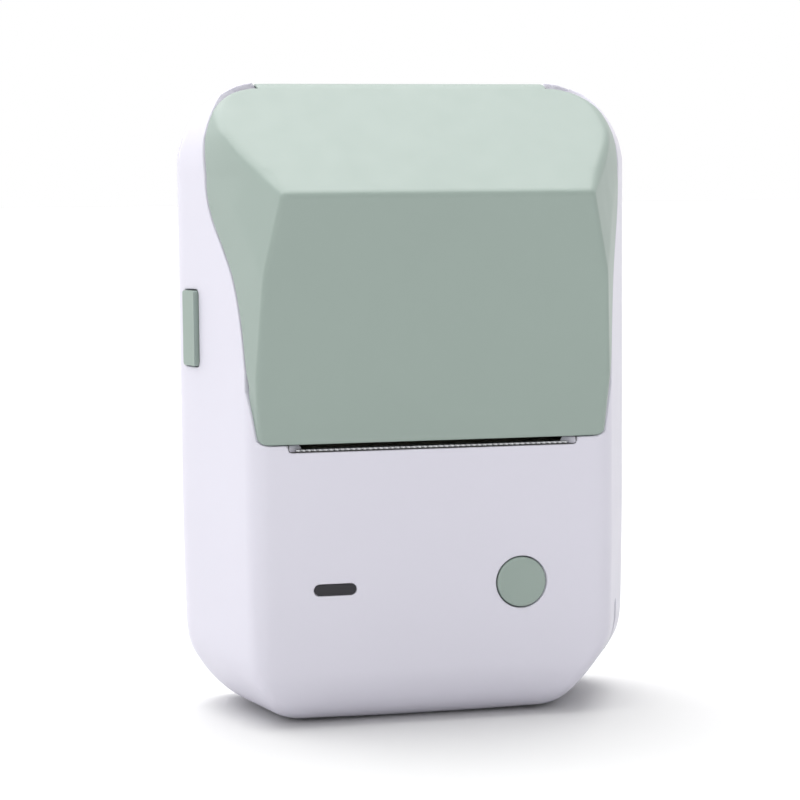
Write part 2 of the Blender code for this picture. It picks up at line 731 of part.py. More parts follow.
def make_feed_train(nylon, steel, rubber, brass):
    platen = (PLATEN_Y, PLATEN_Z)
    motor = (MOTOR_Y, MOTOR_Z)
    platen_phase = direction(platen, IDLER)
    idler_phase = meshing_phase(platen_phase, PLATEN_TEETH, IDLER_TEETH, direction(platen, IDLER))
    small_phase = meshing_phase(idler_phase, IDLER_TEETH, SMALL_TEETH, direction(IDLER, CLUSTER))
    large_phase = direction(CLUSTER, motor)
    pinion_phase = meshing_phase(large_phase, LARGE_TEETH, MOTOR_TEETH, direction(CLUSTER, motor))

    wheel = gear("platen_gear", platen, PLATEN_TEETH, platen_phase, GEAR_IN, GEAR_OUT, nylon)
    cut(wheel, rod("bore", "X", *platen, 1.3, 20, 40, 20))
    set_origin(wheel, (0, *platen))

    idler = gear("idler_gear", IDLER, IDLER_TEETH, idler_phase, GEAR_IN, GEAR_OUT, nylon)
    cut(idler, rod("bore", "X", *IDLER, 1.1, 20, 40, 20))
    set_origin(idler, (0, *IDLER))

    cluster = gear("reduction_gear", CLUSTER, SMALL_TEETH, small_phase, GEAR_IN, GEAR2_IN + 0.4, nylon)
    join(cluster, gear("large", CLUSTER, LARGE_TEETH, large_phase, GEAR2_IN, GEAR2_OUT))
    cut(cluster, rod("bore", "X", *CLUSTER, 1.1, 20, 40, 20))
    set_origin(cluster, (0, *CLUSTER))

    pinion = gear("motor_pinion", motor, MOTOR_TEETH, pinion_phase, GEAR2_IN, GEAR2_OUT, brass)
    join(pinion, rod("stub", "X", *motor, 0.8, PLATE_IN + 0.4, GEAR2_OUT + 0.5, 16))
    set_origin(pinion, (0, *motor))

    shaft = rod("platen_shaft", "X", *platen, 1.5, -27.2, 28.5, 24, steel)
    join(shaft, rod("journal", "X", *platen, 1.05, 20.0, 30.5, 20))
    smooth(set_origin(shaft, (0, *platen)))

    sleeve = rod("platen_rubber", "X", *platen, PLATEN_RADIUS, -LABEL_HALF + 0.2, LABEL_HALF - 0.2, 40, rubber)
    cut(sleeve, rod("bore", "X", *platen, 1.75, -60, 60, 24))
    smooth(set_origin(sleeve, (0, *platen)))

    for name, side in (("platen_bushing_left", -1), ("platen_bushing_right", 1)):
        low, high = sorted((side * 25.25, side * 27.0))
        bushing = rod(name, "X", *platen, 2.0, low, high, 24, brass)
        cut(bushing, rod("bore", "X", *platen, 1.7, -60, 60, 24))
        smooth(bushing)


def make_motor(steel):
    body = rod("feed_motor", "X", MOTOR_Y, MOTOR_Z, MOTOR_RADIUS, 12.8, 26.4, 36, steel)
    join(body, rod("face", "X", MOTOR_Y, MOTOR_Z, MOTOR_RADIUS - 0.6, 26.0, PLATE_IN - GAP, 36))
    join(body, rod("rear_boss", "X", MOTOR_Y, MOTOR_Z, 2.2, 12.0, 13.4, 20))
    cut(body, rod("shaft_bore", "X", MOTOR_Y, MOTOR_Z, 1.2, 26.2, 40, 16))
    smooth(body)


def make_head(ceramic, aluminium, steel):
    head = box("print_head", (-26.8, 26.8), (-11.1, -2.6), (HEAD_TOP_Z - 0.8, HEAD_TOP_Z), ceramic)
    drivers = prism(
        "drivers", "X", [(-4.3, 49.0), (-2.9, 49.0), (-2.9, 49.9), (-3.3, 50.3), (-3.9, 50.3), (-4.3, 49.9)], -21, 21
    )
    join(head, drivers)
    set_origin(head, (0, HEAD_PIVOT_Y, HEAD_PIVOT_Z))
    profile = [
        (-11.1, 45.6), (-10.6, 45.1), (-0.6, 45.1), (-0.2, 44.9), (1.0, 44.8), (2.0, 45.3), (2.5, 46.5),
        (2.0, 47.7), (1.2, 48.3), (-11.1, 48.3),
    ]
    bracket = prism("head_bracket", "X", profile, -26.8, 26.8, aluminium)
    cut(bracket, rod("bore", "X", HEAD_PIVOT_Y, HEAD_PIVOT_Z, 1.2, -60, 60, 20))
    for side in (-1, 1):
        # Shallow cups that locate the head springs.
        cut(bracket, rod("cup", "Z", side * 14.0, -8.4, 2.75, 40, 45.7, 24))
    for i in range(5):
        # Cooling grooves across the underside.
        cut(bracket, box("groove", (-8.6 + i * 3.8, -6.6 + i * 3.8), (-30, -1.6), (40, 45.9)))
    smooth(set_origin(bracket, (0, HEAD_PIVOT_Y, HEAD_PIVOT_Z)))
    smooth(rod("head_pivot_pin", "X", HEAD_PIVOT_Y, HEAD_PIVOT_Z, 1.0, -28.7, 28.6, 20, steel))
    for name, x in (("head_spring_left", -14.0), ("head_spring_right", 14.0)):
        coil(name, x, -8.4, 37.25, 45.35, 2.1, 0.28, 5.5, steel)


def coil(name, x, y, low, high, radius, wire, turns, look):
    """A compression spring on a vertical axis."""
    made = bmesh.new()
    per_turn = 14
    steps = int(turns * per_turn)
    rings = []
    for i in range(steps + 1):
        turn = 2 * math.pi * i / per_turn
        share = i / steps
        rise = low + wire + (high - low - 2 * wire) * share
        ring = []
        for k in range(6):
            across = 2 * math.pi * k / 6
            reach = radius + wire * math.cos(across)
            point = (x + reach * math.cos(turn), y + reach * math.sin(turn), rise + wire * math.sin(across))
            ring.append(made.verts.new(point))
        rings.append(ring)
    for first, second in zip(rings, rings[1:]):
        for k in range(6):
            j = (k + 1) % 6
            made.faces.new((first[k], first[j], second[j], second[k]))
    made.faces.new(rings[0])
    made.faces.new(list(reversed(rings[-1])))
    made = object_from(name, made, look)
    return smooth(made, 80)


def make_tear_bar(steel):
    """Thin steel blade lying in the slot, its front edge cut into small teeth, with a flange behind the wall."""
    half = SLOT_HALF - 1.4
    tip, root, back = FRONT_Y + 0.15, FRONT_Y + 0.55, FRONT_Y + 2.5
    points = [(half, back), (half, root)]
    teeth = 50
    pitch = 2 * half / teeth
    for i in range(teeth):
        right = half - i * pitch
        points.append((right - pitch / 2, tip))
        points.append((right - pitch, root))
    points.append((-half, back))
    top = SLOT_TOP_Z - 0.75
    strip = prism("tear_bar", "Z", points, top - 0.3, top, steel)
    return join(strip, box("flange", (-half + 0.4, half - 0.4), (FRONT_Y + 2.25, FRONT_Y + 2.55), (top - 3.4, top - 0.1)))


def make_roll(paper, card, guide_look, steel):
    labels = rod("label_roll", "X", ROLL_Y, ROLL_Z, ROLL_RADIUS, -LABEL_HALF, LABEL_HALF, 56, paper)
    cut(labels, rod("bore", "X", ROLL_Y, ROLL_Z, CORE_RADIUS + 0.25, -60, 60, 40))
    smooth(set_origin(labels, (0, ROLL_Y, ROLL_Z)))
    core = rod("roll_core", "X", ROLL_Y, ROLL_Z, CORE_RADIUS, -LABEL_HALF, LABEL_HALF, 40, card)
    cut(core, rod("bore", "X", ROLL_Y, ROLL_Z, CORE_RADIUS - 0.9, -60, 60, 32))
    smooth(set_origin(core, (0, ROLL_Y, ROLL_Z)))
    for name, side in (("roll_guide_left", -1), ("roll_guide_right", 1)):
        low, high = sorted((side * 25.4, side * 26.4))
        guide = rod(name, "X", ROLL_Y, ROLL_Z, 8.0, low, high, 36, guide_look)
        low_hub, high_hub = sorted((side * 20.8, side * 25.8))
        join(guide, rod("hub", "X", ROLL_Y, ROLL_Z, 5.2, low_hub, high_hub, 32))
        join(guide, box("arm", (low + 0.1, high - 0.1), (-2.0, 2.0), (60.65, 73.5)))
        hollow_low, hollow_high = sorted((side * 21.8, side * 27.0))
        cut(guide, rod("hollow", "X", ROLL_Y, ROLL_Z, 4.0, hollow_low, hollow_high, 28))
        join(guide, rack_bar(side))
        smooth(set_origin(guide, (side * 25.4, ROLL_Y, ROLL_Z)))
    wheel = prism("centring_pinion", "Z", gear_outline(0.0, 0.0, 10, math.pi / 2), 60.75, 62.0, guide_look)
    cut(wheel, rod("bore", "Z", 0.0, 0.0, 0.8, 50, 70, 16))
    return wheel


def rack_bar(side):
    """Toothed bar on a roll guide. It runs past the centring pinion on one side of it."""
    pitch = math.pi * TEETH_MODULE
    line = TEETH_MODULE * 5
    depth = TEETH_MODULE
    reach = 9
    teeth = []
    for i in range(-reach, reach):
        middle = (i + 0.5) * pitch
        teeth += [
            (middle - 0.30 * pitch, line + 1.2 * depth),
            (middle - 0.105 * pitch, line - 0.85 * depth),
            (middle + 0.105 * pitch, line - 0.85 * depth),
            (middle + 0.30 * pitch, line + 1.2 * depth),
        ]
    far = 25.9
    outline = [(-reach * pitch - 0.6, line + 1.2 * depth)] + teeth
    outline += [(far, line + 1.2 * depth), (far, line + 1.2 * depth + 1.2)]
    outline += [(-reach * pitch - 0.6, line + 1.2 * depth + 1.2)]
    outline = [(side * x, side * y) for x, y in outline]
    bar = prism("rack", "Z", outline, 60.75, 62.0)
    inner, outer = sorted((side * 25.5, side * 26.3))
    low, high = sorted((side * 0.0, side * (line + 1.2 * depth + 1.15)))
    return join(bar, box("foot", (inner, outer), (low, high), (60.8, 61.9)))


def ribbon(name, line, thick, half, look):
    """A thin strip along a path in the Y-Z plane."""
    left, right = [], []
    for i, (y, z) in enumerate(line):
        before = line[max(i - 1, 0)]
        after = line[min(i + 1, len(line) - 1)]
        dy, dz = unit(after[0] - before[0], after[1] - before[1])
        left.append((y - dz * thick / 2, z + dy * thick / 2))
        right.append((y + dz * thick / 2, z - dy * thick / 2))
    return prism(name, "X", left + list(reversed(right)), -half, half, look)


def make_label_web(paper):
    """The free run of the labels, from the roll to the rear of the platen and under it."""
    start = (ROLL_Y + 15.1 * math.cos(math.radians(208)), ROLL_Z + 15.1 * math.sin(math.radians(208)))
    wrap = arc(PLATEN_Y, PLATEN_Z, PLATEN_RADIUS + 0.5, 27, -56, 10)
    return smooth(ribbon("label_web", [start] + wrap, 0.2, LABEL_HALF - 0.2, paper), 50)


def make_power(button_look, window_look, switch_look, light_look):
    button = rod("power_button", "Y", BUTTON_X, BUTTON_Z, BUTTON_RADIUS, FRONT_Y - 0.15, FRONT_Y + 2.4, 48, button_look)
    join(button, rod("flange", "Y", BUTTON_X, BUTTON_Z, 5.7, FRONT_Y + 2.35, FRONT_Y + 3.1, 40))
    join(button, rod("stem", "Y", BUTTON_X, BUTTON_Z, 1.1, FRONT_Y + 3.0, -10.5, 20))
    smooth(set_origin(button, (BUTTON_X, FRONT_Y, BUTTON_Z)))
    outline = rounded_bar(PILL_X, PILL_Z, PILL_LENGTH / 2 - 0.05, PILL_HEIGHT / 2 - 0.05, PILL_HEIGHT / 2 - 0.06, 5)
    window = prism("indicator_window", "Y", outline, FRONT_Y + 0.05, FRONT_Y + 3.4, window_look)
    smooth(window)
    switch = box("power_switch", (BUTTON_X - 2.4, BUTTON_X + 2.4), (-9.2, -7.7), (BUTTON_Z - 2.4, BUTTON_Z + 2.4), switch_look)
    join(switch, rod("plunger", "Y", BUTTON_X, BUTTON_Z, 1.2, -9.85, -9.0, 16))
    box("status_led", (PILL_X - 1.5, PILL_X + 1.5), (-8.7, -7.7), (PILL_Z - 0.8, PILL_Z + 0.8), light_look)


def make_release(button_look, lever_look):
    """Release button on the left side and the latch lever that its tip pushes."""
    button = box_on_side("release_button", RELEASE_WIDE, RELEASE_TALL, -1.2, 0.35, 0.0, button_look)
    join(button, box_on_side("ridge", 0.9, RELEASE_TALL, 0.0, 0.9, -RELEASE_WIDE / 2 + 0.45))
    join(button, box_on_side("flange", RELEASE_WIDE - 0.8, RELEASE_TALL - 1.2, -2.9, -1.0))
    place, along, outward = side_frame(-1)
    # A bar reaches in from the button to the tail of the lever.
    reach = 9.0
    made = bmesh.new()
    rows = []
    for level, low, high in ((-2.0, -4.6, -1.2), (-reach, -3.4, -1.2)):
        for a, b in ((-0.9, low), (0.9, low), (0.9, high), (-0.9, high)):
            rows.append(made.verts.new(place + along * a + outward * level + Vector((0, 0, b))))
    made.faces.new(rows[:4])
    made.faces.new(list(reversed(rows[4:])))
    for i in range(4):
        j = (i + 1) % 4
        made.faces.new((rows[i], rows[4 + i], rows[4 + j], rows[j]))
    join(button, object_from("bar", made))
    smooth(set_origin(button, tuple(place)))

    outline = [
        (-13.7, 63.2), (-11.6, 63.2), (-9.0, 63.1), (-5.5, 62.7), (6.6, 62.2), (8.6, 62.2), (9.4, 63.0),
        (9.0, 64.2), (-3.2, 65.6), (-5.5, 66.4), (-7.4, 65.6), (-9.6, 64.7), (-12.4, 64.5), (-13.0, 65.3),
        (-13.7, 65.5),
    ]
    lever = prism("latch_lever", "X", outline, -29.75, -28.7, lever_look)
    cut(lever, rod("bore", "X", -5.5, 64.5, 1.1, -60, 60, 20))
    smooth(set_origin(lever, (-29.2, -5.5, 64.5)))


def make_electronics(board_look, chip_look, cream, steel, cell_look):
    edge = [(-28.0, 10.5), (-23.5, 5.5), (23.5, 5.5), (28.0, 10.5), (28.0, 34.0), (-28.0, 34.0)]
    board = prism("main_board", "Y", edge, -7.4, -5.8, board_look)
    for x in (-25.5, 25.5):
        cut(board, rod("hole", "Y", x, 31.4, 1.2, -20, 20, 16))
    box("processor", (-4.0, 4.0), (-8.7, -7.7), (14.0, 22.0), chip_look)
    box("head_connector", (-12.0, 12.0), (-9.2, -7.7), (29.6, 32.6), cream)
    box("battery_connector", (-24.0, -16.0), (-5.5, -1.6), (8.0, 12.6), cream)
    usb = prism("usb_socket", "X", rounded_bar(-3.8, 14.0, 1.6, 4.45, 1.5, 5), 25.6, 34.0, steel)
    cut(usb, prism("mouth", "X", rounded_bar(-3.8, 14.0, 1.3, 4.15, 1.2, 5), 27.2, 60))
    join(usb, box("tongue", (26.8, 33.2), (-4.1, -3.5), (11.0, 17.0)))
    smooth(usb)
    cell = prism("battery", "Z", rounded_bar(0.0, 9.6, 25.0, 5.4, 2.4, 4), 3.0, 34.6, cell_look)
    smooth(cell)
    box("gap_sensor", (-4.0, 4.0), (-1.7, -0.1), (52.2, 56.6), chip_look)
    switch = box("lid_switch", (22.0, 26.6), (-11.4, -8.4), (39.0, 43.2), chip_look)
    join(switch, prism("lever", "X", [(-11.2, 43.0), (-10.4, 43.0), (-9.6, 44.0), (-10.0, 44.2)], 23.4, 25.2))


def make_screws(steel):
    for i, (x, z) in enumerate(SCREWS):
        screw = rod(f"case_screw_{i + 1}", "Y", x, z, 2.1, BACK_Y - 1.0, BACK_Y - 0.15, 24, steel)
        join(screw, rod("shank", "Y", x, z, 0.95, BACK_Y - 12.0, BACK_Y - 0.9, 16))
        for turn in (0, 90):
            slot = box("slot", (x - 1.2, x + 1.2), (BACK_Y - 0.55, BACK_Y + 1), (z - 0.25, z + 0.25))
            if turn:
                bpy.data.objects.remove(slot, do_unlink=True)
                slot = box("slot", (x - 0.25, x + 0.25), (BACK_Y - 0.55, BACK_Y + 1), (z - 1.2, z + 1.2))
            cut(screw, slot)
        smooth(screw)
    for name, side in (("lid_screw_left", -1), ("lid_screw_right", 1)):
        screw = rod(name, "Y", side * 20.0, 61.0, 1.5, -10.9, -10.2, 20, steel)
        join(screw, rod("shank", "Y", side * 20.0, 61.0, 0.7, -13.0, -10.5, 16))
        smooth(screw)


white = material("white_abs", WHITE, 0.42)
sage = material("sage_abs", SAGE, 0.40)
frame_grey = material("frame_abs", FRAME_GREY, 0.55)
nylon = material("nylon", NYLON, 0.5)
steel = material("steel", STEEL, 0.28, 1.0)
aluminium = material("aluminium", ALUMINIUM, 0.38, 1.0)
brass = material("brass", (0.72, 0.55, 0.28), 0.32, 1.0)
rubber = material("rubber", (0.022, 0.022, 0.024), 0.75)
ceramic = material("ceramic", (0.78, 0.76, 0.70), 0.3)
paper = material("label_paper", (0.86, 0.85, 0.82), 0.7)
card = material("core_card", (0.46, 0.34, 0.22), 0.85)
smoked = material("smoked_window", (0.02, 0.02, 0.025), 0.15)
board_green = material("board", (0.02, 0.13, 0.07), 0.4)
black = material("black_plastic", DARK, 0.45)
cream = material("cream_plastic", (0.75, 0.72, 0.62), 0.5)
cell_wrap = material("cell_wrap", (0.35, 0.38, 0.42), 0.45)
light = material("led_lens", (0.75, 0.78, 0.80), 0.2)

make_body_shell(white)
make_rear_cover(white)
make_lid_cover(sage)
make_lid_frame(frame_grey)
make_chassis(frame_grey)
smooth(rod("hinge_pin", "X", HINGE_Y, HINGE_Z, 1.05, -29.2, 29.2, 20, steel))
make_feed_train(nylon, steel, rubber, brass)
make_motor(steel)
make_head(ceramic, aluminium, steel)
make_tear_bar(steel)
make_roll(paper, card, nylon, steel)
make_label_web(paper)
make_power(sage, smoked, black, light)
make_release(sage, nylon)
make_electronics(board_green, black, cream, steel, cell_wrap)
make_screws(steel)
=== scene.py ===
"""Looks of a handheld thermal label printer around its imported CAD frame.

Lengths in the geometry sections are millimetres, as in the CAD source, and MM turns them into metres.
"""

import json
import math

import bmesh
import bpy
import numpy as np
from mathutils import Matrix, Vector


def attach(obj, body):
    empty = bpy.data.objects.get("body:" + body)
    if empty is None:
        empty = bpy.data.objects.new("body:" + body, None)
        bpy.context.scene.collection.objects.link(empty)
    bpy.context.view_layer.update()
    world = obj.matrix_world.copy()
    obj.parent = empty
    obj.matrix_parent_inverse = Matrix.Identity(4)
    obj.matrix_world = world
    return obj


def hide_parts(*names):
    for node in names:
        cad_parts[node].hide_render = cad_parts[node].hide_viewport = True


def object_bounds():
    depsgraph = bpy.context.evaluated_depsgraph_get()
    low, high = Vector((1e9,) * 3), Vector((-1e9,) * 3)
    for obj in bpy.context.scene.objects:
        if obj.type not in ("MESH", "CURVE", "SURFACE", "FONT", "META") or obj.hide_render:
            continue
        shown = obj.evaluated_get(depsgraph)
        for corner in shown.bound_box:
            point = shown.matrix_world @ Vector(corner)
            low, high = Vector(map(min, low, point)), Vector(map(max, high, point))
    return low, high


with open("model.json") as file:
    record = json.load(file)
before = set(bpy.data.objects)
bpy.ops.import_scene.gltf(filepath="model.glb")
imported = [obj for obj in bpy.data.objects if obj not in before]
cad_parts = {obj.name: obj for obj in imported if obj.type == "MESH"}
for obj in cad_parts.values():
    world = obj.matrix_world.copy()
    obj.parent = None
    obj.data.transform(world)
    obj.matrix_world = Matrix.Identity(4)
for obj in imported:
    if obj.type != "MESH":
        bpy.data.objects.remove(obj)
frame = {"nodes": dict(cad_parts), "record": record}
CAD_LOW, CAD_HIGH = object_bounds()
MM = 0.001
SCENE = bpy.context.scene


# ---------------------------------------------------------------- materials


class Look:
    """A procedural material under construction: its tree, its shader and the object-space coordinates."""

    def __init__(self, name, colour, roughness, metallic=0.0, specular=0.5):
        self.material = bpy.data.materials.new(name)
        self.material.use_nodes = True
        self.tree = self.material.node_tree
        self.tree.nodes.clear()
        self.shader = self.add("ShaderNodeBsdfPrincipled")
        output = self.add("ShaderNodeOutputMaterial")
        self.link(self.shader.outputs[0], output.inputs["Surface"])
        self.set("Base Color", (*colour, 1.0))
        self.set("Roughness", roughness)
        self.set("Metallic", metallic)
        self.set("Specular IOR Level", specular)
        self.place = self.add("ShaderNodeTexCoord").outputs["Object"]

    def add(self, kind, **values):
        node = self.tree.nodes.new(kind)
        for key, value in values.items():
            setattr(node, key, value)
        return node

    def link(self, source, target):
        self.tree.links.new(source, target)

    def set(self, socket, value):
        self.shader.inputs[socket].default_value = value

    def stretched(self, scale):
        """Object coordinates in millimetres, multiplied by the scale of each axis."""
        mapping = self.add("ShaderNodeMapping")
        self.link(self.place, mapping.inputs["Vector"])
        mapping.inputs["Scale"].default_value = tuple(s / MM for s in scale)
        return mapping.outputs["Vector"]

    def noise(self, scale, detail=2.0, rough=0.5):
        """Noise whose features are 1 / scale millimetres on each axis."""
        node = self.add("ShaderNodeTexNoise")
        node.inputs["Scale"].default_value = 1.0
        node.inputs["Detail"].default_value = detail
        node.inputs["Roughness"].default_value = rough
        self.link(self.stretched(scale), node.inputs["Vector"])
        return node.outputs["Fac"]

    def ranged(self, value, low, high, start=0.3, end=0.7):
        node = self.add("ShaderNodeMapRange")
        self.link(value, node.inputs["Value"])
        node.inputs["From Min"].default_value = start
        node.inputs["From Max"].default_value = end
        node.inputs["To Min"].default_value = low
        node.inputs["To Max"].default_value = high
        return node.outputs["Result"]

    def mixed(self, factor, first, second):
        node = self.add("ShaderNodeMix", data_type="RGBA")
        self.link(factor, node.inputs["Factor"])
        for socket, colour in (("A", first), ("B", second)):
            target = [s for s in node.inputs if s.name == socket and s.type == "RGBA"][0]
            if isinstance(colour, tuple):
                target.default_value = (*colour, 1.0)
            else:
                self.link(colour, target)
        return [s for s in node.outputs if s.type == "RGBA"][0]

    def feed(self, socket, value):
        self.link(value, self.shader.inputs[socket])

    def vary(self, colour, pattern, darkest, lightest):
        """Base colour that follows a pattern, between two multiples of the colour."""
        share = self.ranged(pattern, 0.0, 1.0)
        self.feed("Base Color", self.mixed(share, tinted(colour, darkest), tinted(colour, lightest)))

    def bump(self, height, depth, strength=1.0):
        """Relief of the given depth in millimetres."""
        node = self.add("ShaderNodeBump")
        node.inputs["Distance"].default_value = depth * MM
        node.inputs["Strength"].default_value = strength
        self.link(height, node.inputs["Height"])
        if self.shader.inputs["Normal"].links:
            self.link(self.shader.inputs["Normal"].links[0].from_socket, node.inputs["Normal"])
        self.feed("Normal", node.outputs["Normal"])


def tinted(colour, factor):
    """The colour made darker or lighter, up to full white."""
    return tuple(min(1.0, c * factor) for c in colour)


def moulded(name, colour, roughness, grain=5.0, depth=0.004, spread=0.05, drift=0.03):
    """Satin moulded plastic: fine spark-eroded grain, faint mottling, and slightly uneven gloss."""
    look = Look(name, colour, roughness)
    look.vary(colour, look.noise((0.03, 0.03, 0.03), 3.0), 1 - drift, 1 + drift)
    uneven = look.noise((0.25, 0.25, 0.12), 3.0)
    look.feed("Roughness", look.ranged(uneven, roughness - spread, roughness + spread))
    look.bump(look.noise((grain, grain, grain), 1.0), depth)
    look.bump(look.noise((0.12, 0.12, 0.12), 1.0), 0.02, 0.3)
    return look.material


def metal(name, colour, roughness, along, depth=0.002):
    """Metal with fine lines along one axis and a little staining."""
    look = Look(name, colour, roughness, 1.0)
    scale = [12.0, 12.0, 12.0]
    scale["XYZ".index(along)] = 0.4
    lines = look.noise(tuple(scale), 3.0, 0.6)
    look.feed("Roughness", look.ranged(lines, roughness - 0.08, roughness + 0.12))
    look.vary(colour, look.noise((0.2, 0.2, 0.2), 4.0), 0.86, 1.06)
    look.bump(lines, depth)
    return look.material


def rubber(name, colour):
    """Dull rubber with fine pores."""
    look = Look(name, colour, 0.78, specular=0.35)
    pores = look.noise((6.0, 6.0, 6.0), 2.0)
    look.vary(colour, pores, 0.8, 1.25)
    look.feed("Roughness", look.ranged(look.noise((0.5, 0.5, 0.5)), 0.7, 0.86))
    look.bump(pores, 0.008)
    return look.material


def paper(name, colour, layered=False):
    """Label paper: fine fibre, and on the ends of a roll the edges of its wound layers."""
    look = Look(name, colour, 0.62, specular=0.3)
    fibre = look.noise((3.0, 9.0, 9.0), 4.0, 0.7)
    look.vary(colour, fibre, 0.95, 1.02)
    look.bump(fibre, 0.006)
    if layered:
        # The object's origin is on the roll's axis, so the rings are its layers.
        rings = look.add("ShaderNodeTexWave", wave_type="RINGS", rings_direction="X")
        rings.inputs["Scale"].default_value = 1.0
        rings.inputs["Distortion"].default_value = 0.6
        look.link(look.stretched((1.0, 1.0, 1.0)), rings.inputs["Vector"])
        fine = look.ranged(rings.outputs["Fac"], 0.0, 1.0, 0.0, 1.0)
        look.feed("Base Color", look.mixed(fine, tinted(colour, 0.84), colour))
        look.bump(rings.outputs["Fac"], 0.03)
    return look.material


def board(name):
    """Circuit board: green solder mask, paler over a grid of copper tracks."""
    look = Look(name, (0.012, 0.09, 0.045), 0.32)
    tracks = look.add("ShaderNodeTexBrick")
    tracks.offset, tracks.squash = 0.37, 1.3
    sizes = {"Scale": 1.0, "Mortar Size": 0.055, "Mortar Smooth": 0.3, "Brick Width": 3.1, "Row Height": 1.27}
    for socket, value in sizes.items():
        tracks.inputs[socket].default_value = value
    # The board stands upright, so the grid is turned to lie along its face.
    turn = look.add("ShaderNodeMapping")
    turn.inputs["Rotation"].default_value = (math.radians(90), 0, 0)
    turn.inputs["Scale"].default_value = (1 / MM,) * 3
    look.link(look.place, turn.inputs["Vector"])
    look.link(turn.outputs["Vector"], tracks.inputs["Vector"])
    look.feed("Base Color", look.mixed(tracks.outputs["Fac"], (0.008, 0.075, 0.035), (0.03, 0.16, 0.07)))
    look.feed("Roughness", look.ranged(look.noise((1.5, 1.5, 1.5), 3.0), 0.25, 0.42))
    look.bump(tracks.outputs["Fac"], 0.03)
    return look.material


def card(name, colour):
    """Grey-brown card with coarse fibre along the tube."""
    look = Look(name, colour, 0.8, specular=0.3)
    fibre = look.noise((0.8, 5.0, 5.0), 5.0, 0.65)
    look.vary(colour, fibre, 0.75, 1.15)
    look.bump(fibre, 0.02)
    return look.material


def foil_wrap(name, colour):
    """Cell wrap: a smooth film with soft wrinkles."""
    look = Look(name, colour, 0.35)
    folds = look.noise((0.08, 0.5, 0.3), 3.0, 0.6)
    look.vary(colour, folds, 0.9, 1.08)
    look.feed("Roughness", look.ranged(folds, 0.28, 0.45))
    look.bump(folds, 0.12)
    return look.material


SAGE = (0.285, 0.352, 0.318)
WHITE = (0.655, 0.642, 0.722)
SMOKE = (0.009, 0.008, 0.014)
BLACK = (0.022, 0.022, 0.024)
PAPER = (0.86, 0.86, 0.84)
LOOKS = {
    "white_abs": moulded("white_plastic", WHITE, 0.46, spread=0.03, drift=0.008),
    "sage_abs": moulded("sage_plastic", SAGE, 0.42, spread=0.03, drift=0.012),
    "frame_abs": moulded("frame_plastic", (0.085, 0.09, 0.095), 0.5, grain=3.0, depth=0.01, drift=0.1),
    "nylon": moulded("nylon", (0.78, 0.76, 0.68), 0.4, grain=2.0, depth=0.006, drift=0.05),
    "steel": metal("steel", (0.56, 0.57, 0.58), 0.28, "X"),
    "aluminium": metal("aluminium", (0.72, 0.73, 0.74), 0.34, "X", 0.003),
    "brass": metal("brass", (0.72, 0.52, 0.22), 0.26, "X"),
    "rubber": rubber("rubber", BLACK),
    "ceramic": moulded("ceramic", (0.70, 0.66, 0.55), 0.22, grain=2.0, depth=0.002, drift=0.04),
    "label_paper": paper("label_paper", PAPER),
    "core_card": card("core_card", (0.42, 0.31, 0.19)),
    "smoked_window": moulded("smoked_window", SMOKE, 0.34, grain=1.0, depth=0.001, spread=0.03, drift=0.15),
    "board": board("board"),
    "black_plastic": moulded("black_plastic", BLACK, 0.38, grain=4.0, depth=0.006, drift=0.15),
    "cream_plastic": moulded("cream_plastic", (0.74, 0.70, 0.58), 0.42, drift=0.05),
    "cell_wrap": foil_wrap("cell_wrap", (0.10, 0.20, 0.42)),
    "led_lens": moulded("led_lens", (0.75, 0.80, 0.72), 0.12, grain=1.0, depth=0.002, drift=0.05),
}
ROLL_LOOK = paper("label_roll_paper", PAPER, layered=True)
SLOT_OF = {part["node"]: part["material_slot"] for part in frame["record"]["subparts"]}


def dress(node_object, look):
    node_object.data.materials.clear()
    node_object.data.materials.append(look)


for node, made in frame["nodes"].items():
    dress(made, ROLL_LOOK if node == "label_roll" else LOOKS[SLOT_OF[node]])


# ---------------------------------------------------------------- surfaces of the case and the lid

HALF_WIDTH, HEIGHT = CAD_HIGH.x / MM, CAD_HIGH.z / MM
FRONT_Y, BACK_Y, SEAM_Y = -14.0, CAD_HIGH.y / MM, 10.0
GAP = 0.3
FLARE, FLARE_X, FLARE_BLEND = math.radians(23.27), 32.2, 7.0
TOP_RADIUS, FRONT_EDGE_RADIUS, REAR_EDGE_RADIUS, REAR_TOP_RADIUS = 16.2, 4.5, 11.0, 9.0
FRONT_FOOT_RADIUS, REAR_FOOT_RADIUS = 10.0, 5.0
# Bottom corners: width and height, and the power of the curve, at the widest line and at the front.
WIDE_CORNER, WIDE_CORNER_POWER, WIDEST_Y = (16.0, 16.5), 1.7, 7.0
LEFT_CORNER, LEFT_CORNER_POWER = (10.5, 11.5), 1.35
RIGHT_CORNER, RIGHT_CORNER_POWER = (14.5, 16.0), 1.3
CORNER_OUT, CORNER_EDGE = 0.6, 1.4
SLOT_TOP_Z, SLOT_HEIGHT, SLOT_HALF = 50.2, 1.3, 26.0
NOSE, WIDEST = (27.4, -20.0, 93.6), (32.3, -17.4, 73.3)
SLANT, SLANT_RADIUS, SLANT_EDGE = math.radians(33.5), 8.0, 0.9
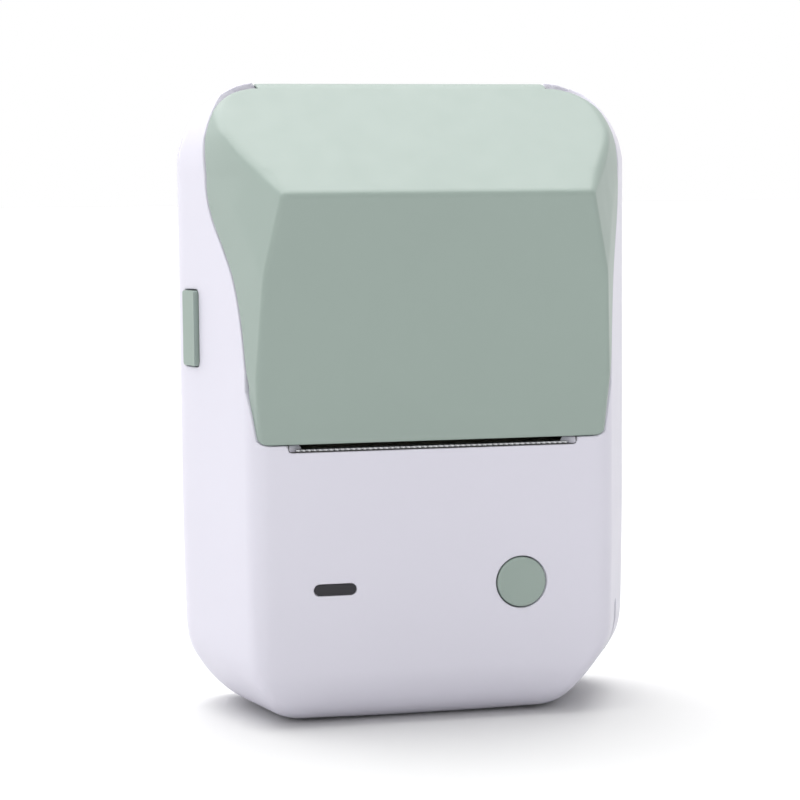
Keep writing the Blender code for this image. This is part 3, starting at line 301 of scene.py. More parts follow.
# Outward directions of the lid's faces: the facet to the widest point, the facet at the nose, and the front.
FACET_WIDEST, FACET_WIDEST_EDGE = (0.940, -0.323, -0.105), 0.12
FACET_NOSE, FACET_NOSE_EDGES = (0.849, -0.517, 0.109), (0.14, 1.2)
LEAN, LEAN_EDGE = (0, -41.4, -6.0), 0.55
EDGE_GROWS_FROM_Z, EDGE_GROWS_OVER = NOSE[2] - 2.0, 5.0
FOOT_HALF, FOOT_RADIUS, FOOT_TOP_Z, FOOT_WIDENING = 32.3, 3.0, 60.0, 0.2
LID_FOOT_BACK_Y, LID_FOOT_PLAY = -12.05, 0.06
ROOM_FOOT_BACK_Y, ROOM_FOOT_PLAY, ROOM_BESIDE, ROOM_BESIDE_TOP_Z = -11.8, 0.05, 0.25, FOOT_TOP_Z + 6
KNUCKLE_FRONT_Y, KNUCKLE_HALF, KNUCKLE_LOW_Z = 5.0, 27.0, 104.1
KNUCKLE_PLAY_X, KNUCKLE_PLAY_Z = 0.4, 0.7
CASE_WALL, LID_WALL = 2.0, 1.8
CASE_ROUNDING, LID_ROUNDING = 0.2, 0.3
SLOT_HOLE_TALL, SLOT_HOLE_RADIUS = 6.0, 0.6  # the lid covers the upper part of the hole
BUTTON_X, BUTTON_Z, BUTTON_RADIUS, BUTTON_PLAY = 15.7, 24.6, 4.45, 0.22
PILL_X, PILL_Z, PILL_LENGTH, PILL_HEIGHT, PILL_PLAY = -18.0, 24.7, 7.5, 1.95, 0.06
RELEASE_Y, RELEASE_Z, RELEASE_WIDE, RELEASE_TALL, RELEASE_PLAY = 4.4, 69.9, 4.7, 13.4, 0.22
RELEASE_HOLE_RADIUS = 0.75
SOCKET_Y, SOCKET_Z, SOCKET_DEEP, SOCKET_TALL, SOCKET_RADIUS = -3.8, 14.0, 3.7, 9.5, 1.6
SCREWS, SCREW_HOLE_RADIUS = [(-28.3, 8.6), (28.3, 8.6), (-22.0, 39.9), (22.0, 39.9)], 2.5
STEP = math.radians(3)  # turn between the planes of a rounding
NO_HOLE = 9.0  # distance to a hole, on the walls that have none
FAR = 150.0  # longer than any way out of the object


def plane_through(normal, point):
    """A plane as its unit normal and its distance from the origin."""
    normal = np.array(normal, float) / np.linalg.norm(normal)
    return (*normal, float(normal @ np.array(point)))


def both_sides(planes):
    """The planes, and their mirror images across the middle."""
    return planes + [(-a, b, c, d) for a, b, c, d in planes]


def turns(first, last):
    """Evenly spaced angles from first to last, about STEP apart."""
    count = max(2, round(abs(last - first) / STEP))
    return [first + (last - first) * i / count for i in range(count + 1)]


def rounding(first, last, centre, radius, axes):
    """Planes round an edge: the turn goes from the first axis to the second."""
    planes = []
    for turn in turns(first, last):
        normal = [0.0, 0.0, 0.0]
        normal[axes[0]], normal[axes[1]] = math.cos(turn), math.sin(turn)
        planes.append((*normal, centre[0] * math.cos(turn) + centre[1] * math.sin(turn) + radius))
    return planes


def side_planes():
    """Flared side, its blend to the widest line, and the rounded rear edge."""
    planes = [plane_through((math.cos(FLARE), -math.sin(FLARE), 0), (FLARE_X, FRONT_Y, 0))]
    middle_x = HALF_WIDTH - FLARE_BLEND
    middle_y = (math.cos(FLARE) * middle_x - planes[0][3] + FLARE_BLEND) / math.sin(FLARE)
    planes += rounding(-FLARE, 0, (middle_x, middle_y), FLARE_BLEND, (0, 1))
    rear = (HALF_WIDTH - REAR_EDGE_RADIUS, BACK_Y - REAR_EDGE_RADIUS)
    return both_sides(planes + rounding(0, math.pi / 2, rear, REAR_EDGE_RADIUS, (0, 1)))


def front_edge_planes():
    """Rounding between the front and the flared side."""
    middle_y = FRONT_Y + FRONT_EDGE_RADIUS
    reach = math.cos(FLARE) * FLARE_X - math.sin(FLARE) * FRONT_Y
    middle_x = (reach - FRONT_EDGE_RADIUS + math.sin(FLARE) * middle_y) / math.cos(FLARE)
    return both_sides(rounding(-math.pi / 2, -FLARE, (middle_x, middle_y), FRONT_EDGE_RADIUS, (0, 1)))


def top_planes():
    """Rounded top corners, straight back from the widest line and following the flare at the front."""
    middle_z = HEIGHT - TOP_RADIUS
    planes = rounding(0, math.pi / 2, (HALF_WIDTH - TOP_RADIUS, middle_z), TOP_RADIUS, (0, 2))
    for turn in turns(0, math.pi / 2):
        across, up = math.cos(turn), math.sin(turn)
        touch = (FLARE_X - TOP_RADIUS + TOP_RADIUS * across, FRONT_Y, middle_z + TOP_RADIUS * up)
        planes.append(plane_through((across, -math.tan(FLARE) * across, up), touch))
    return both_sides(planes)


def rear_top_planes():
    """Rear top edge, rounded all the way round the top corners."""
    planes = []
    for across in turns(math.pi / 2, 0)[::3]:
        side, up = math.cos(across), math.sin(across)
        reach = (HALF_WIDTH - TOP_RADIUS) * side + (HEIGHT - TOP_RADIUS) * up + TOP_RADIUS - REAR_TOP_RADIUS
        for turn in turns(0, math.pi / 2)[::3]:
            far = reach * math.cos(turn) + (BACK_Y - REAR_TOP_RADIUS) * math.sin(turn) + REAR_TOP_RADIUS
            planes.append((side * math.cos(turn), math.sin(turn), up * math.cos(turn), far))
    return both_sides(planes)


def slant_planes():
    """Slanted top and its rounding into the flat top."""
    middle_z = HEIGHT - SLANT_RADIUS
    middle_y = NOSE[1] + ((middle_z - NOSE[2]) * math.cos(SLANT) + SLANT_RADIUS) / math.sin(SLANT)
    return rounding(math.pi / 2 + SLANT, math.pi / 2, (middle_y, middle_z), SLANT_RADIUS, (1, 2))


def corner_reach(across, down, centre, size, power):
    """How far a bottom corner reaches in a direction, from the formula of a superellipse."""
    other = power / (power - 1)
    bulge = ((size[0] * across) ** other + (size[1] * abs(down)) ** other) ** (1 / other)
    return across * centre[0] + down * centre[1] + bulge


def foot_corner_planes(side, size, power):
    """A bottom corner, with its size at the front and a common size at the widest line."""
    planes = []
    wide_centre = (HALF_WIDTH - WIDE_CORNER[0], WIDE_CORNER[1])
    front_centre = (FLARE_X + CORNER_OUT - size[0], size[1])
    for turn in turns(0, math.pi / 2)[1:-1]:
        across, down = math.cos(turn), -math.sin(turn)
        at_front = corner_reach(across, down, front_centre, size, power)
        at_wide = corner_reach(across, down, wide_centre, WIDE_CORNER, WIDE_CORNER_POWER)
        slope = (at_wide - at_front) / (WIDEST_Y - FRONT_Y)
        length = math.sqrt(1 + slope * slope)
        swept = (side * across, -slope, down, at_front - slope * FRONT_Y)
        planes += [tuple(part / length for part in swept), (side * across, 0, down, at_wide)]
    return planes


def foot_edge_planes():
    """Rounded front and rear edges of the bottom."""
    front = (FRONT_Y + FRONT_FOOT_RADIUS, FRONT_FOOT_RADIUS)
    rear = (BACK_Y - REAR_FOOT_RADIUS, REAR_FOOT_RADIUS)
    planes = rounding(-math.pi, -math.pi / 2, front, FRONT_FOOT_RADIUS, (1, 2))
    return planes + rounding(-math.pi / 2, 0, rear, REAR_FOOT_RADIUS, (1, 2))


class Surface:
    """A convex surface: groups of planes joined one after another, each with a soft edge of its own size.

    A group with two sizes has the first below the nose of the lid and the second above it.
    """

    def __init__(self, *groups):
        self.groups = [(np.array(planes)[:, :3], np.array(planes)[:, 3], edges) for planes, *edges in groups]

    def __call__(self, points):
        value = None
        upper = np.clip((points[:, 2] - EDGE_GROWS_FROM_Z) / EDGE_GROWS_OVER, 0, 1)
        for normals, reach, edges in self.groups:
            group = (points @ normals.T - reach).max(1)
            edge = edges[0] + (edges[-1] - edges[0]) * upper
            value = group if value is None else self.join(value, group, edge)
        return value

    @staticmethod
    def join(a, b, edge):
        """The larger of two distances, with their crease rounded."""
        lifted = np.hypot(np.maximum(a + edge, 0), np.maximum(b + edge, 0))
        return np.minimum(-edge, np.maximum(a, b)) + lifted

    def meet(self, start, aim, inset=0.0):
        """Where rays from start through aim meet the surface, moved inward by the inset."""
        ray = aim - start
        ray /= np.linalg.norm(ray, axis=1)[:, None]
        reach = np.full(len(start), FAR)
        for normals, far, _ in self.groups:
            speed = ray @ normals.T
            room = far - inset - start @ normals.T
            reach = np.minimum(reach, np.where(speed > 1e-6, room / np.maximum(speed, 1e-6), FAR).min(1))
        # The soft edges lie a little inside the planes, and Newton's steps go in to them from outside.
        tiny = 0.001
        for _ in range(5):
            here = self(start + ray * reach[:, None])
            ahead = self(start + ray * (reach + tiny)[:, None])
            reach -= (here + inset) * tiny / np.maximum(ahead - here, tiny * 0.05)
        return start + ray * reach[:, None]


def slope_of(field, points, reach=0.02):
    """Unit directions in which a distance grows."""
    columns = []
    for axis in range(3):
        shift = np.zeros(3)
        shift[axis] = reach
        columns.append(field(points + shift) - field(points - shift))
    slope = np.stack(columns, 1)
    return slope / np.maximum(np.linalg.norm(slope, axis=1), 1e-9)[:, None]


FRONT, BACK = (0, -1, 0, -FRONT_Y), (0, 1, 0, BACK_Y)
BOTTOM, TOP = (0, 0, -1, 0.0), (0, 0, 1, HEIGHT)
SHARED = side_planes() + top_planes() + rear_top_planes()
CASE = Surface(
    ([FRONT, BACK, BOTTOM, TOP] + SHARED + slant_planes() + front_edge_planes() + foot_edge_planes(), 0.0),
    (foot_corner_planes(-1, LEFT_CORNER, LEFT_CORNER_POWER), CORNER_EDGE),
    (foot_corner_planes(1, RIGHT_CORNER, RIGHT_CORNER_POWER), CORNER_EDGE),
)
LID = Surface(
    ([BACK, TOP] + SHARED, 0.0),
    (slant_planes(), SLANT_EDGE),
    (both_sides([plane_through(FACET_WIDEST, WIDEST)]), FACET_WIDEST_EDGE),
    (both_sides([plane_through(FACET_NOSE, NOSE)]), *FACET_NOSE_EDGES),
    ([plane_through(LEAN, NOSE)], LEAN_EDGE),
)


# ---------------------------------------------------------------- lines between the pieces

# The line between the lid and the case as (y, z), then its upper end at both sides of a shoulder.
PARTING = [
    (-13.9, 50.2), (-13.3, 55.0), (-12.6, 59.4), (-11.9, 64.5), (-11.2, 69.5), (-10.1, 74.6), (-8.4, 79.6),
    (-5.8, 84.2), (-2.8, 89.0), (-1.2, 93.2),
]
SHOULDER_OUTER_X, SHOULDER_INNER_X = 37.5, 28.0
SHOULDER_OUTER = [
    (-0.7, 97.6), (0.2, 101.0), (1.2, 103.6), (1.9, 106.0), (3.0, 108.4), (5.0, 110.6), (8.5, 113.2),
    (10.6, 114.8),
]
SHOULDER_INNER = [
    (-0.4, 97.6), (1.8, 101.4), (4.8, 104.6), (6.9, 106.6), (7.0, 108.3), (7.5, 110.3), (8.8, 112.4),
    (10.6, 114.0),
]


def smoothed(line, parts=6):
    """A smooth curve through the points."""
    points = np.array(line)
    padded = np.vstack([2 * points[0] - points[1], points, 2 * points[-1] - points[-2]])
    made = []
    for i in range(len(points) - 1):
        before, start, end, after = padded[i:i + 4]
        for t in np.arange(parts) / parts:
            square = 2 * before - 5 * start + 4 * end - after
            cube = 3 * start - before - 3 * end + after
            made.append(0.5 * (2 * start + (end - before) * t + square * t ** 2 + cube * t ** 3))
    return np.array(made + [points[-1]])


OUTER_LINE, INNER_LINE = smoothed(PARTING + SHOULDER_OUTER), smoothed(PARTING + SHOULDER_INNER)


def behind_parting(points):
    """Distance behind the parting line, negative where the lid is."""
    shoulder = SHOULDER_OUTER_X - SHOULDER_INNER_X
    share = np.clip((SHOULDER_OUTER_X - abs(points[:, 0])) / shoulder, 0, 1)
    y, z = points[:, 1], points[:, 2]
    value = y - OUTER_LINE[0][0]
    for i in range(len(OUTER_LINE) - 1):
        start = (1 - share)[:, None] * OUTER_LINE[i] + share[:, None] * INNER_LINE[i]
        end = (1 - share)[:, None] * OUTER_LINE[i + 1] + share[:, None] * INNER_LINE[i + 1]
        run = end - start
        along = (z - start[:, 1]) / np.maximum(run[:, 1], 1e-6)
        offset = (y - start[:, 0] - run[:, 0] * along) * run[:, 1] / np.linalg.norm(run, axis=1)
        last = i == len(OUTER_LINE) - 2
        value = np.where((along >= 0) & ((along < 1) | last), offset, value)
    return value


def rounded_bar(a, b, half_a, half_b, radius):
    """Distance outside a rectangle with rounded corners."""
    over_a, over_b = abs(a) - half_a + radius, abs(b) - half_b + radius
    round_a_corner = np.hypot(np.maximum(over_a, 0), np.maximum(over_b, 0))
    return round_a_corner + np.minimum(np.maximum(over_a, over_b), 0) - radius


def outside_foot(points, grow=0.0):
    """Distance outside the rounded lower front of the lid, seen from the front."""
    x, z = points[:, 0], points[:, 2]
    tall = 60.0
    widening = FOOT_WIDENING * np.maximum(z - SLOT_TOP_Z - FOOT_RADIUS, 0)
    bar = rounded_bar(x, z - SLOT_TOP_Z - tall, FOOT_HALF + grow + widening, tall + grow, FOOT_RADIUS + grow)
    return np.where(z > FOOT_TOP_Z, -1.0, bar)


def over_knuckle(points, half, low_z):
    """Distance outside the roof and the knuckle between the shoulders of the case."""
    return np.maximum.reduce([abs(points[:, 0]) - half, low_z - points[:, 2], KNUCKLE_FRONT_Y - points[:, 1]])


def lid_field(points):
    """Distance outside the lid, along its surface."""
    front_wall = np.maximum(points[:, 1] - LID_FOOT_BACK_Y, points[:, 2] - FOOT_TOP_Z)
    ahead = np.maximum(np.minimum(behind_parting(points), front_wall), outside_foot(points, -LID_FOOT_PLAY))
    return np.minimum(ahead, over_knuckle(points, KNUCKLE_HALF, KNUCKLE_LOW_Z))


def lid_room(points):
    """Distance outside the opening that the case leaves for the lid."""
    beside = np.where(points[:, 2] < ROOM_BESIDE_TOP_Z, LID(points) - ROOM_BESIDE, -1.0)
    around_foot = outside_foot(points, ROOM_FOOT_PLAY)
    ahead = np.maximum.reduce([behind_parting(points) - GAP, around_foot, beside])
    foot = np.maximum.reduce([around_foot, points[:, 1] - ROOM_FOOT_BACK_Y, beside])
    knuckle = over_knuckle(points, KNUCKLE_HALF + KNUCKLE_PLAY_X, KNUCKLE_LOW_Z - KNUCKLE_PLAY_Z)
    return np.minimum.reduce([ahead, foot, knuckle])


def release_axes():
    """Place of the release button on the left flared side, and the direction back along the side."""
    place = np.array([-(FLARE_X + math.tan(FLARE) * (RELEASE_Y - FRONT_Y)), RELEASE_Y, RELEASE_Z])
    return place, np.array([-math.sin(FLARE), math.cos(FLARE), 0])


def front_holes(points):
    """Distance outside the holes of the front: the slot, the power button's and the indicator's."""
    x, y, z = points.T
    slot_middle_z = SLOT_TOP_Z - SLOT_HEIGHT + SLOT_HOLE_TALL / 2
    slot = rounded_bar(x, z - slot_middle_z, SLOT_HALF, SLOT_HOLE_TALL / 2, SLOT_HOLE_RADIUS)
    button = np.hypot(x - BUTTON_X, z - BUTTON_Z) - BUTTON_RADIUS - BUTTON_PLAY
    pill_end = PILL_HEIGHT / 2 + PILL_PLAY
    pill = rounded_bar(x - PILL_X, z - PILL_Z, PILL_LENGTH / 2 + PILL_PLAY, pill_end, pill_end)
    return np.where(y < -9, np.minimum.reduce([slot, button, pill]), NO_HOLE)


def side_holes(points):
    """Distance outside the release button's hole on the left side and the socket's on the right."""
    place, along = release_axes()
    local = points - place
    half_wide, half_tall = RELEASE_WIDE / 2 + RELEASE_PLAY, RELEASE_TALL / 2 + RELEASE_PLAY
    release = rounded_bar(local @ along, local[:, 2], half_wide, half_tall, RELEASE_HOLE_RADIUS)
    y, z = points[:, 1] - SOCKET_Y, points[:, 2] - SOCKET_Z
    socket = rounded_bar(y, z, SOCKET_DEEP / 2, SOCKET_TALL / 2, SOCKET_RADIUS)
    on_left, on_right = points[:, 0] < -30, points[:, 0] > 30
    return np.minimum(np.where(on_left, release, NO_HOLE), np.where(on_right, socket, NO_HOLE))


def body_field(points):
    """Distance outside the front part of the case, along its surface."""
    cuts = np.minimum.reduce([lid_room(points), front_holes(points), side_holes(points)])
    return np.maximum(-cuts, points[:, 1] - SEAM_Y + GAP / 2)


def rear_field(points):
    """Distance outside the rear part of the case, along its surface."""
    to_axes = [np.hypot(points[:, 0] - x, points[:, 2] - z) for x, z in SCREWS]
    holes = np.minimum.reduce(to_axes) - SCREW_HOLE_RADIUS
    cuts = np.minimum(lid_room(points), np.where(points[:, 1] > 15, holes, NO_HOLE))
    return np.maximum(-cuts, SEAM_Y + GAP / 2 - points[:, 1])


# ---------------------------------------------------------------- shells

SHELL_SHARP, BUTTON_SHARP, SHADE_SHEET_SHARP = 42, 40, 30  # degrees between faces


def stations(*runs):
    """Grid positions from (start, end, spacing) runs that follow one another."""
    made = []
    for start, end, spacing in runs:
        count = max(1, round((end - start) / spacing))
        made += [start + (end - start) * i / count for i in range(count)]
    return np.array(made + [runs[-1][1]])


def mirrored(*runs):
    """Grid positions on both sides of the middle."""
    right = stations(*runs)
    return np.concatenate([-right[:0:-1], right])


def grid_round_box(xs, ys, zs, with_bottom=True):
    """Points on the faces of a box and the triangles between them, wound outward."""
    points, triangles = [], []

    def face(fixed_axis, value, first, second, axes, flip):
        a, b = np.meshgrid(first, second, indexing="ij")
        block = np.zeros((a.size, 3))
        block[:, fixed_axis], block[:, axes[0]], block[:, axes[1]] = value, a.ravel(), b.ravel()
        index = np.arange(a.size).reshape(a.shape) + sum(len(p) for p in points)
        corner = [index[:-1, :-1], index[1:, :-1], index[1:, 1:], index[:-1, 1:]]
        if flip:
            corner.reverse()
        quads = np.stack([c.ravel() for c in corner], 1)
        triangles.append(np.vstack([quads[:, [0, 1, 2]], quads[:, [0, 2, 3]]]))
        points.append(block)

    face(1, ys[0], xs, zs, (0, 2), False)
    face(1, ys[-1], xs, zs, (0, 2), True)
    face(0, xs[-1], ys, zs, (1, 2), False)
    face(0, xs[0], ys, zs, (1, 2), True)
    face(2, zs[-1], xs, ys, (0, 1), False)
    if with_bottom:
        face(2, zs[0], xs, ys, (0, 1), True)
    points, triangles = np.vstack(points), np.vstack(triangles)
    _, first, inverse = np.unique(np.round(points, 5), axis=0, return_index=True, return_inverse=True)
    return points[first], inverse.reshape(-1)[triangles]


def clipped(outer, inner, triangles, values):
    """The part of both sheets where the values are below zero, cut along the zero line."""
    values = np.where(abs(values) < 1e-4, -1e-4, values)
    below = values < 0
    count = below[triangles].sum(1)
    kept = [triangles[count == 3]]
    crossing = triangles[(count == 1) | (count == 2)]
    edges = {}
    new_outer, new_inner = [], []

    def cross(a, b):
        key = (min(a, b), max(a, b))
        if key not in edges:
            share = values[a] / (values[a] - values[b])
            edges[key] = len(outer) + len(new_outer)
            new_outer.append(outer[a] + (outer[b] - outer[a]) * share)
            new_inner.append(inner[a] + (inner[b] - inner[a]) * share)
        return edges[key]

    made = []
    for triangle in crossing.tolist():
        inside = [bool(below[v]) for v in triangle]
        start = inside.index(True) if sum(inside) == 1 else (inside.index(False) + 1) % 3
        a, b, c = (triangle[(start + k) % 3] for k in range(3))
        if sum(inside) == 1:
            made.append((a, cross(a, b), cross(a, c)))
        else:
            far_b, far_a = cross(b, c), cross(a, c)
            made += [(a, b, far_b), (a, far_b, far_a)]
    if made:
        kept.append(np.array(made))
        outer, inner = np.vstack([outer, np.array(new_outer)]), np.vstack([inner, np.array(new_inner)])
    kept = np.vstack(kept)
    used, inverse = np.unique(kept, return_inverse=True)
    return outer[used], inner[used], inverse.reshape(-1, 3)


def shell(name, surface, wall, grid, core, field, edge, steps=3):
    """A thin closed shell on a surface, kept where the field is negative, with rounded outer edges.

    Each grid point is an aim: a ray goes to it from the nearest point of the core, and on to the surface.
    """
    aims, triangles = grid
    start = np.clip(aims, core[0], core[1])
    outer, inner = surface.meet(start, aims), surface.meet(start, aims, wall)
    outer, inner, triangles = clipped(outer, inner, triangles, field(outer) + edge)
    pairs = np.vstack([triangles[:, [0, 1]], triangles[:, [1, 2]], triangles[:, [2, 0]]])
    size = len(outer)
    keys, back = pairs[:, 0] * size + pairs[:, 1], pairs[:, 1] * size + pairs[:, 0]
    rim = pairs[~np.isin(keys, back)]
    rim_points = np.unique(rim)
    place = outer[rim_points]
    normal = slope_of(surface, place)
    away = slope_of(field, place)
    away -= normal * (away * normal).sum(1)[:, None]
    away /= np.maximum(np.linalg.norm(away, axis=1), 1e-9)[:, None]
    layers, index = [outer], [np.arange(size)]
    for step in range(1, steps + 1):
        turn = math.pi / 2 * step / steps
        layers.append(place + edge * (math.sin(turn) * away - (1 - math.cos(turn)) * normal))
        ring = np.full(size, -1)
        ring[rim_points] = sum(len(layer) for layer in layers[:-1]) + np.arange(len(rim_points))
        index.append(ring)
    inner = inner.copy()
    inner[rim_points] += edge * away
    index.append(np.arange(size) + sum(len(layer) for layer in layers))
    layers.append(inner)
    faces = triangles.tolist()
    near, far = rim[:, 0], rim[:, 1]
    for upper, lower in zip(index[:-1], index[1:]):
        faces += np.stack([upper[far], upper[near], lower[near], lower[far]], 1).tolist()
    faces += index[-1][triangles[:, ::-1]].tolist()
    return mesh_piece(name, np.vstack(layers), faces, SHELL_SHARP)


def mesh_piece(name, points, faces, sharp_degrees):
    """An object from points in millimetres, smooth but for edges sharper than the angle."""
    mesh = bpy.data.meshes.new(name)
    mesh.from_pydata((np.asarray(points) * MM).tolist(), [], faces)
    mesh.validate()
    mesh.shade_smooth()
    mesh.set_sharp_from_angle(angle=math.radians(sharp_degrees))
    made = bpy.data.objects.new(name, mesh)
    SCENE.collection.objects.link(made)
    return made


def stand_for(made, node, body):
    """The piece takes the place, the finish and the body of a CAD node."""
    dress(made, LOOKS[SLOT_OF[node]])
    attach(made, body)
    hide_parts(node)


CORE = (np.array([-16.0, -6.0, 18.0]), np.array([16.0, 8.0, 98.0]))
LID_CORE = (np.array([-16.0, -6.0, 44.0]), np.array([16.0, 8.0, 98.0]))
# The grids are finest at the rounded edges, round the holes and along the lines between the pieces.
case_grid = grid_round_box(
    stations((-HALF_WIDTH, -24, 0.6), (-24, -13, 0.5), (-13, 10, 1.6), (10, 21, 0.5), (21, 24, 0.7),
             (24, HALF_WIDTH, 0.6)),
    stations((FRONT_Y, BACK_Y, 0.6)),
    stations((0, 20, 0.6), (20, 29, 0.5), (29, 47, 1.2), (47, 53, 0.5), (53, 96, 1.0), (96, HEIGHT, 0.6)),
)
lid_grid = grid_round_box(
    mirrored((0, 22, 1.6), (22, HALF_WIDTH, 0.45)),
    stations((NOSE[1], BACK_Y, 0.6)),
    stations((44, 56, 0.6), (56, 88, 0.9), (88, HEIGHT, 0.45)),
    with_bottom=False,
)
lid_shell = shell("lid_shell", LID, LID_WALL, lid_grid, LID_CORE, lid_field, LID_ROUNDING)
body_case = shell("body_case", CASE, CASE_WALL, case_grid, CORE, body_field, CASE_ROUNDING)
rear_case = shell("rear_case", CASE, CASE_WALL, case_grid, CORE, rear_field, CASE_ROUNDING)
stand_for(lid_shell, "lid_cover", "lid")
stand_for(body_case, "body_shell", "case")
stand_for(rear_case, "rear_cover", "case")


# ---------------------------------------------------------------- power button, slot and small edges


def turned(name, profile, middle_x, middle_z, parts=96):
    """A closed solid turned about a line along Y. Its outline of (radius, y) starts and ends on the line."""
    points, faces, rings = [], [], []
    for radius, y in profile:
        if radius == 0:
            rings.append([len(points)] * parts)
            points.append((middle_x, y, middle_z))
            continue
        rings.append([len(points) + k for k in range(parts)])
        for k in range(parts):
            turn = 2 * math.pi * k / parts
            points.append((middle_x + radius * math.cos(turn), y, middle_z + radius * math.sin(turn)))
    for upper, lower in zip(rings[:-1], rings[1:]):
        for k in range(parts):
            corners = [upper[k], lower[k], lower[(k + 1) % parts], upper[(k + 1) % parts]]
            faces.append(list(dict.fromkeys(corners)))
    return mesh_piece(name, points, faces, BUTTON_SHARP)


def quarter(middle_radius, middle_y, size, first, last, parts=6):
    """Outline points along an arc between two angles in degrees."""
    made = []
    for i in range(parts + 1):
        turn = math.radians(first + (last - first) * i / parts)
        made.append((middle_radius + size * math.cos(turn), middle_y + size * math.sin(turn)))
    return made


def power_button():
    """Button face with a shallow dish, a raised lip and a soft edge, on its flange and stem."""
    front, edge = FRONT_Y - 0.15, 0.38
    flange, flange_back, flange_radius = FRONT_Y + 2.35, FRONT_Y + 2.35 + 0.75, 5.7
    stem_radius, stem_end = 1.1, -10.5
    profile = [(0, front + 0.16), (1.6, front + 0.14), (2.8, front + 0.08), (3.5, front + 0.02), (3.75, front)]
    profile += quarter(BUTTON_RADIUS - edge, front + edge, edge, -90, 0)
    profile += [(BUTTON_RADIUS, flange), (flange_radius, flange), (flange_radius, flange_back)]
    profile += [(stem_radius, flange_back), (stem_radius, stem_end), (0, stem_end)]
    return turned("power_button_cap", profile, BUTTON_X, BUTTON_Z)


def slot_painted_shade():
    """Painted shade of the label slot: a thin black sheet round its lower edge and its ends, where there is
    only shade.
    """
    wall, play, near, deep = 0.14, 0.03, FRONT_Y + 0.22, FRONT_Y + 1.95
    top, low = SLOT_TOP_Z - 0.02, SLOT_TOP_Z - SLOT_HEIGHT + play
    half, corner_parts = SLOT_HALF - play, 6
    outline = []
    for inset in (0.0, wall):
        radius = SLOT_HOLE_RADIUS - play - inset
        line = [(-half + inset, top)]
        for middle, first in ((-half + inset + radius, 180), (half - inset - radius, 270)):
            for i in range(corner_parts + 1):
                turn = math.radians(first + 90 * i / corner_parts)
                z = low + inset + radius + radius * math.sin(turn)
                line.append((middle + radius * math.cos(turn), z))
        line.append((half - inset, top))
        outline.append(line)
    loop = outline[0] + outline[1][::-1]
    count = len(loop)
    points = [(x, y, z) for y in (near, deep) for x, z in loop]
    faces = [[i, (i + 1) % count, count + (i + 1) % count, count + i] for i in range(count)]
    half_count = count // 2
    for i in range(half_count - 1):
        j = count - 1 - i
        faces += [[i, j, j - 1, i + 1], [count + i + 1, count + j - 1, count + j, count + i]]
    made = mesh_piece("slot_painted_shade", points, faces, SHADE_SHEET_SHARP)
    work = bmesh.new()
    work.from_mesh(made.data)
    bmesh.ops.recalc_face_normals(work, faces=work.faces)
    work.to_mesh(made.data)
    work.free()
    return made


def softened(node, width, segments=3):
    """Small rounded edges on a CAD node that stays shown."""
    bevel = frame["nodes"][node].modifiers.new("edge", "BEVEL")
    bevel.width, bevel.segments, bevel.limit_method = width * MM, segments, "ANGLE"
    bevel.angle_limit = math.radians(50)


stand_for(power_button(), "power_button", "power")
# A thin black sheet inside the label slot is painted shade.
painted_slot_shade = slot_painted_shade()
dress(painted_slot_shade, LOOKS["black_plastic"])
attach(painted_slot_shade, "case")
softened("release_button", 0.14)
softened("indicator_window", 0.1)


# ---------------------------------------------------------------- floor, light and camera


FLOOR_HALF = 12.0  # metres
FLOOR_DARK, FLOOR_MEAN, FLOOR_LIGHT = ((grey, grey, grey) for grey in (0.715, 0.72, 0.725))


def plain_floor():
    """A pale matt floor that reaches past everything the cameras see."""
    mesh = bpy.data.meshes.new("floor")
    corners = [(x * FLOOR_HALF, y * FLOOR_HALF, 0) for x, y in ((-1, -1), (1, -1), (1, 1), (-1, 1))]
    mesh.from_pydata(corners, [], [(0, 1, 2, 3)])
    floor = bpy.data.objects.new("floor", mesh)
    SCENE.collection.objects.link(floor)
    look = Look("floor", FLOOR_MEAN, 0.7, specular=0.1)
    grain = look.noise((0.02, 0.02, 0.02), 2.0)
    look.feed("Base Color", look.mixed(look.ranged(grain, 0.0, 1.0), FLOOR_DARK, FLOOR_LIGHT))
    dress(floor, look.material)


def soft_sun(name, towards, level, angle):
    """A wide soft light from far away. A level of 1 makes a white surface that faces it white."""
    data = bpy.data.lights.new(name, "SUN")
    data.energy, data.angle = math.pi * level, math.radians(angle)
    lamp = bpy.data.objects.new(name, data)
    lamp.rotation_mode = "QUATERNION"
    lamp.rotation_quaternion = Vector(towards).to_track_quat("Z", "Y")
    SCENE.collection.objects.link(lamp)


# Soft lights: where each one is, its level, and how wide it looks in degrees.
SUNS = {
    "overhead": ((-0.12, 0.2, 0.97), 0.95, 70),
    "front_left": ((-0.3, -0.8, 0.5), 0.24, 60),
    "left_rear": ((-0.85, 0.5, 0.15), 0.16, 60),
}
ROOM_FRONT, ROOM_BACK = 0.40, 1.15  # brightness of the surroundings on the two sides


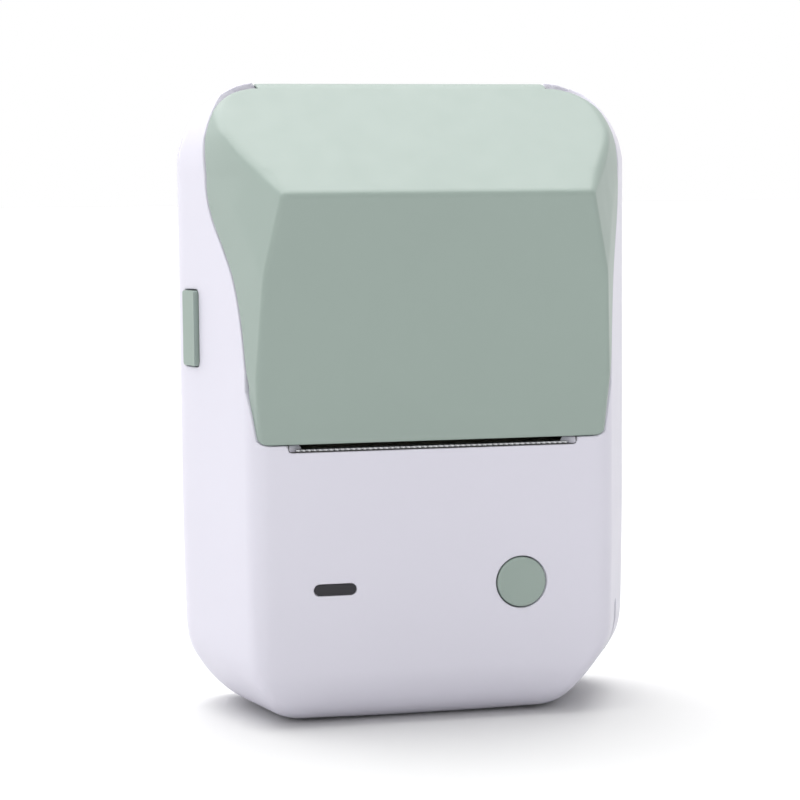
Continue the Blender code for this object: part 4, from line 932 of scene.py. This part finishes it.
def studio():
    """Surroundings that look white and light the object, with a strong light above and two weaker ones."""
    world = bpy.data.worlds.new("studio")
    world.use_nodes = True
    tree = world.node_tree
    seen, filling = tree.nodes["Background"], tree.nodes.new("ShaderNodeBackground")
    seen.inputs["Color"].default_value = filling.inputs["Color"].default_value = (1.0, 1.0, 1.0, 1.0)
    # The back of the room is the brighter side, which shows as sheen on surfaces seen at a low angle.
    place, split = tree.nodes.new("ShaderNodeTexCoord"), tree.nodes.new("ShaderNodeSeparateXYZ")
    ramp = tree.nodes.new("ShaderNodeMapRange")
    tree.links.new(place.outputs["Generated"], split.inputs[0])
    tree.links.new(split.outputs["Y"], ramp.inputs["Value"])
    sides = {"From Min": -0.1, "From Max": 0.5, "To Min": ROOM_FRONT, "To Max": ROOM_BACK}
    for socket, value in sides.items():
        ramp.inputs[socket].default_value = value
    tree.links.new(ramp.outputs["Result"], filling.inputs["Strength"])
    path, mix = tree.nodes.new("ShaderNodeLightPath"), tree.nodes.new("ShaderNodeMixShader")
    tree.links.new(path.outputs["Is Camera Ray"], mix.inputs[0])
    tree.links.new(filling.outputs[0], mix.inputs[1])
    tree.links.new(seen.outputs[0], mix.inputs[2])
    tree.links.new(mix.outputs[0], tree.nodes["World Output"].inputs["Surface"])
    SCENE.world = world
    for name, (towards, level, angle) in SUNS.items():
        soft_sun(name, towards, level, angle)
    SCENE.view_settings.view_transform = "Standard"


CAMERA_PLACE = (-92.71, -403.70, 94.47)
CAMERA_TURNS = (12.52, 5.27, 0.49)  # degrees to the right of straight back, down, and about the line of sight
CAMERA_LENS, CAMERA_SENSOR = 103.5, 36.0


def photo_camera():
    """Camera in front of the object, a little to its left and above its middle."""
    yaw, pitch, roll = (math.radians(turn) for turn in CAMERA_TURNS)
    cos_y, sin_y, cos_p, sin_p = math.cos(yaw), math.sin(yaw), math.cos(pitch), math.sin(pitch)
    level = Vector((cos_y, -sin_y, 0))
    upright = Vector((sin_p * sin_y, sin_p * cos_y, cos_p))
    right = math.cos(roll) * level - math.sin(roll) * upright
    up = math.sin(roll) * level + math.cos(roll) * upright
    back = -Vector((cos_p * sin_y, cos_p * cos_y, -sin_p))
    data = bpy.data.cameras.new("camera")
    data.lens, data.sensor_width = CAMERA_LENS, CAMERA_SENSOR
    data.clip_start, data.clip_end = 0.02, 20.0
    camera = bpy.data.objects.new("camera", data)
    SCENE.collection.objects.link(camera)
    turn = Matrix((right, up, back)).transposed().to_4x4()
    camera.matrix_world = Matrix.Translation(Vector(CAMERA_PLACE) * MM) @ turn
    SCENE.camera = camera


plain_floor()
studio()
photo_camera()
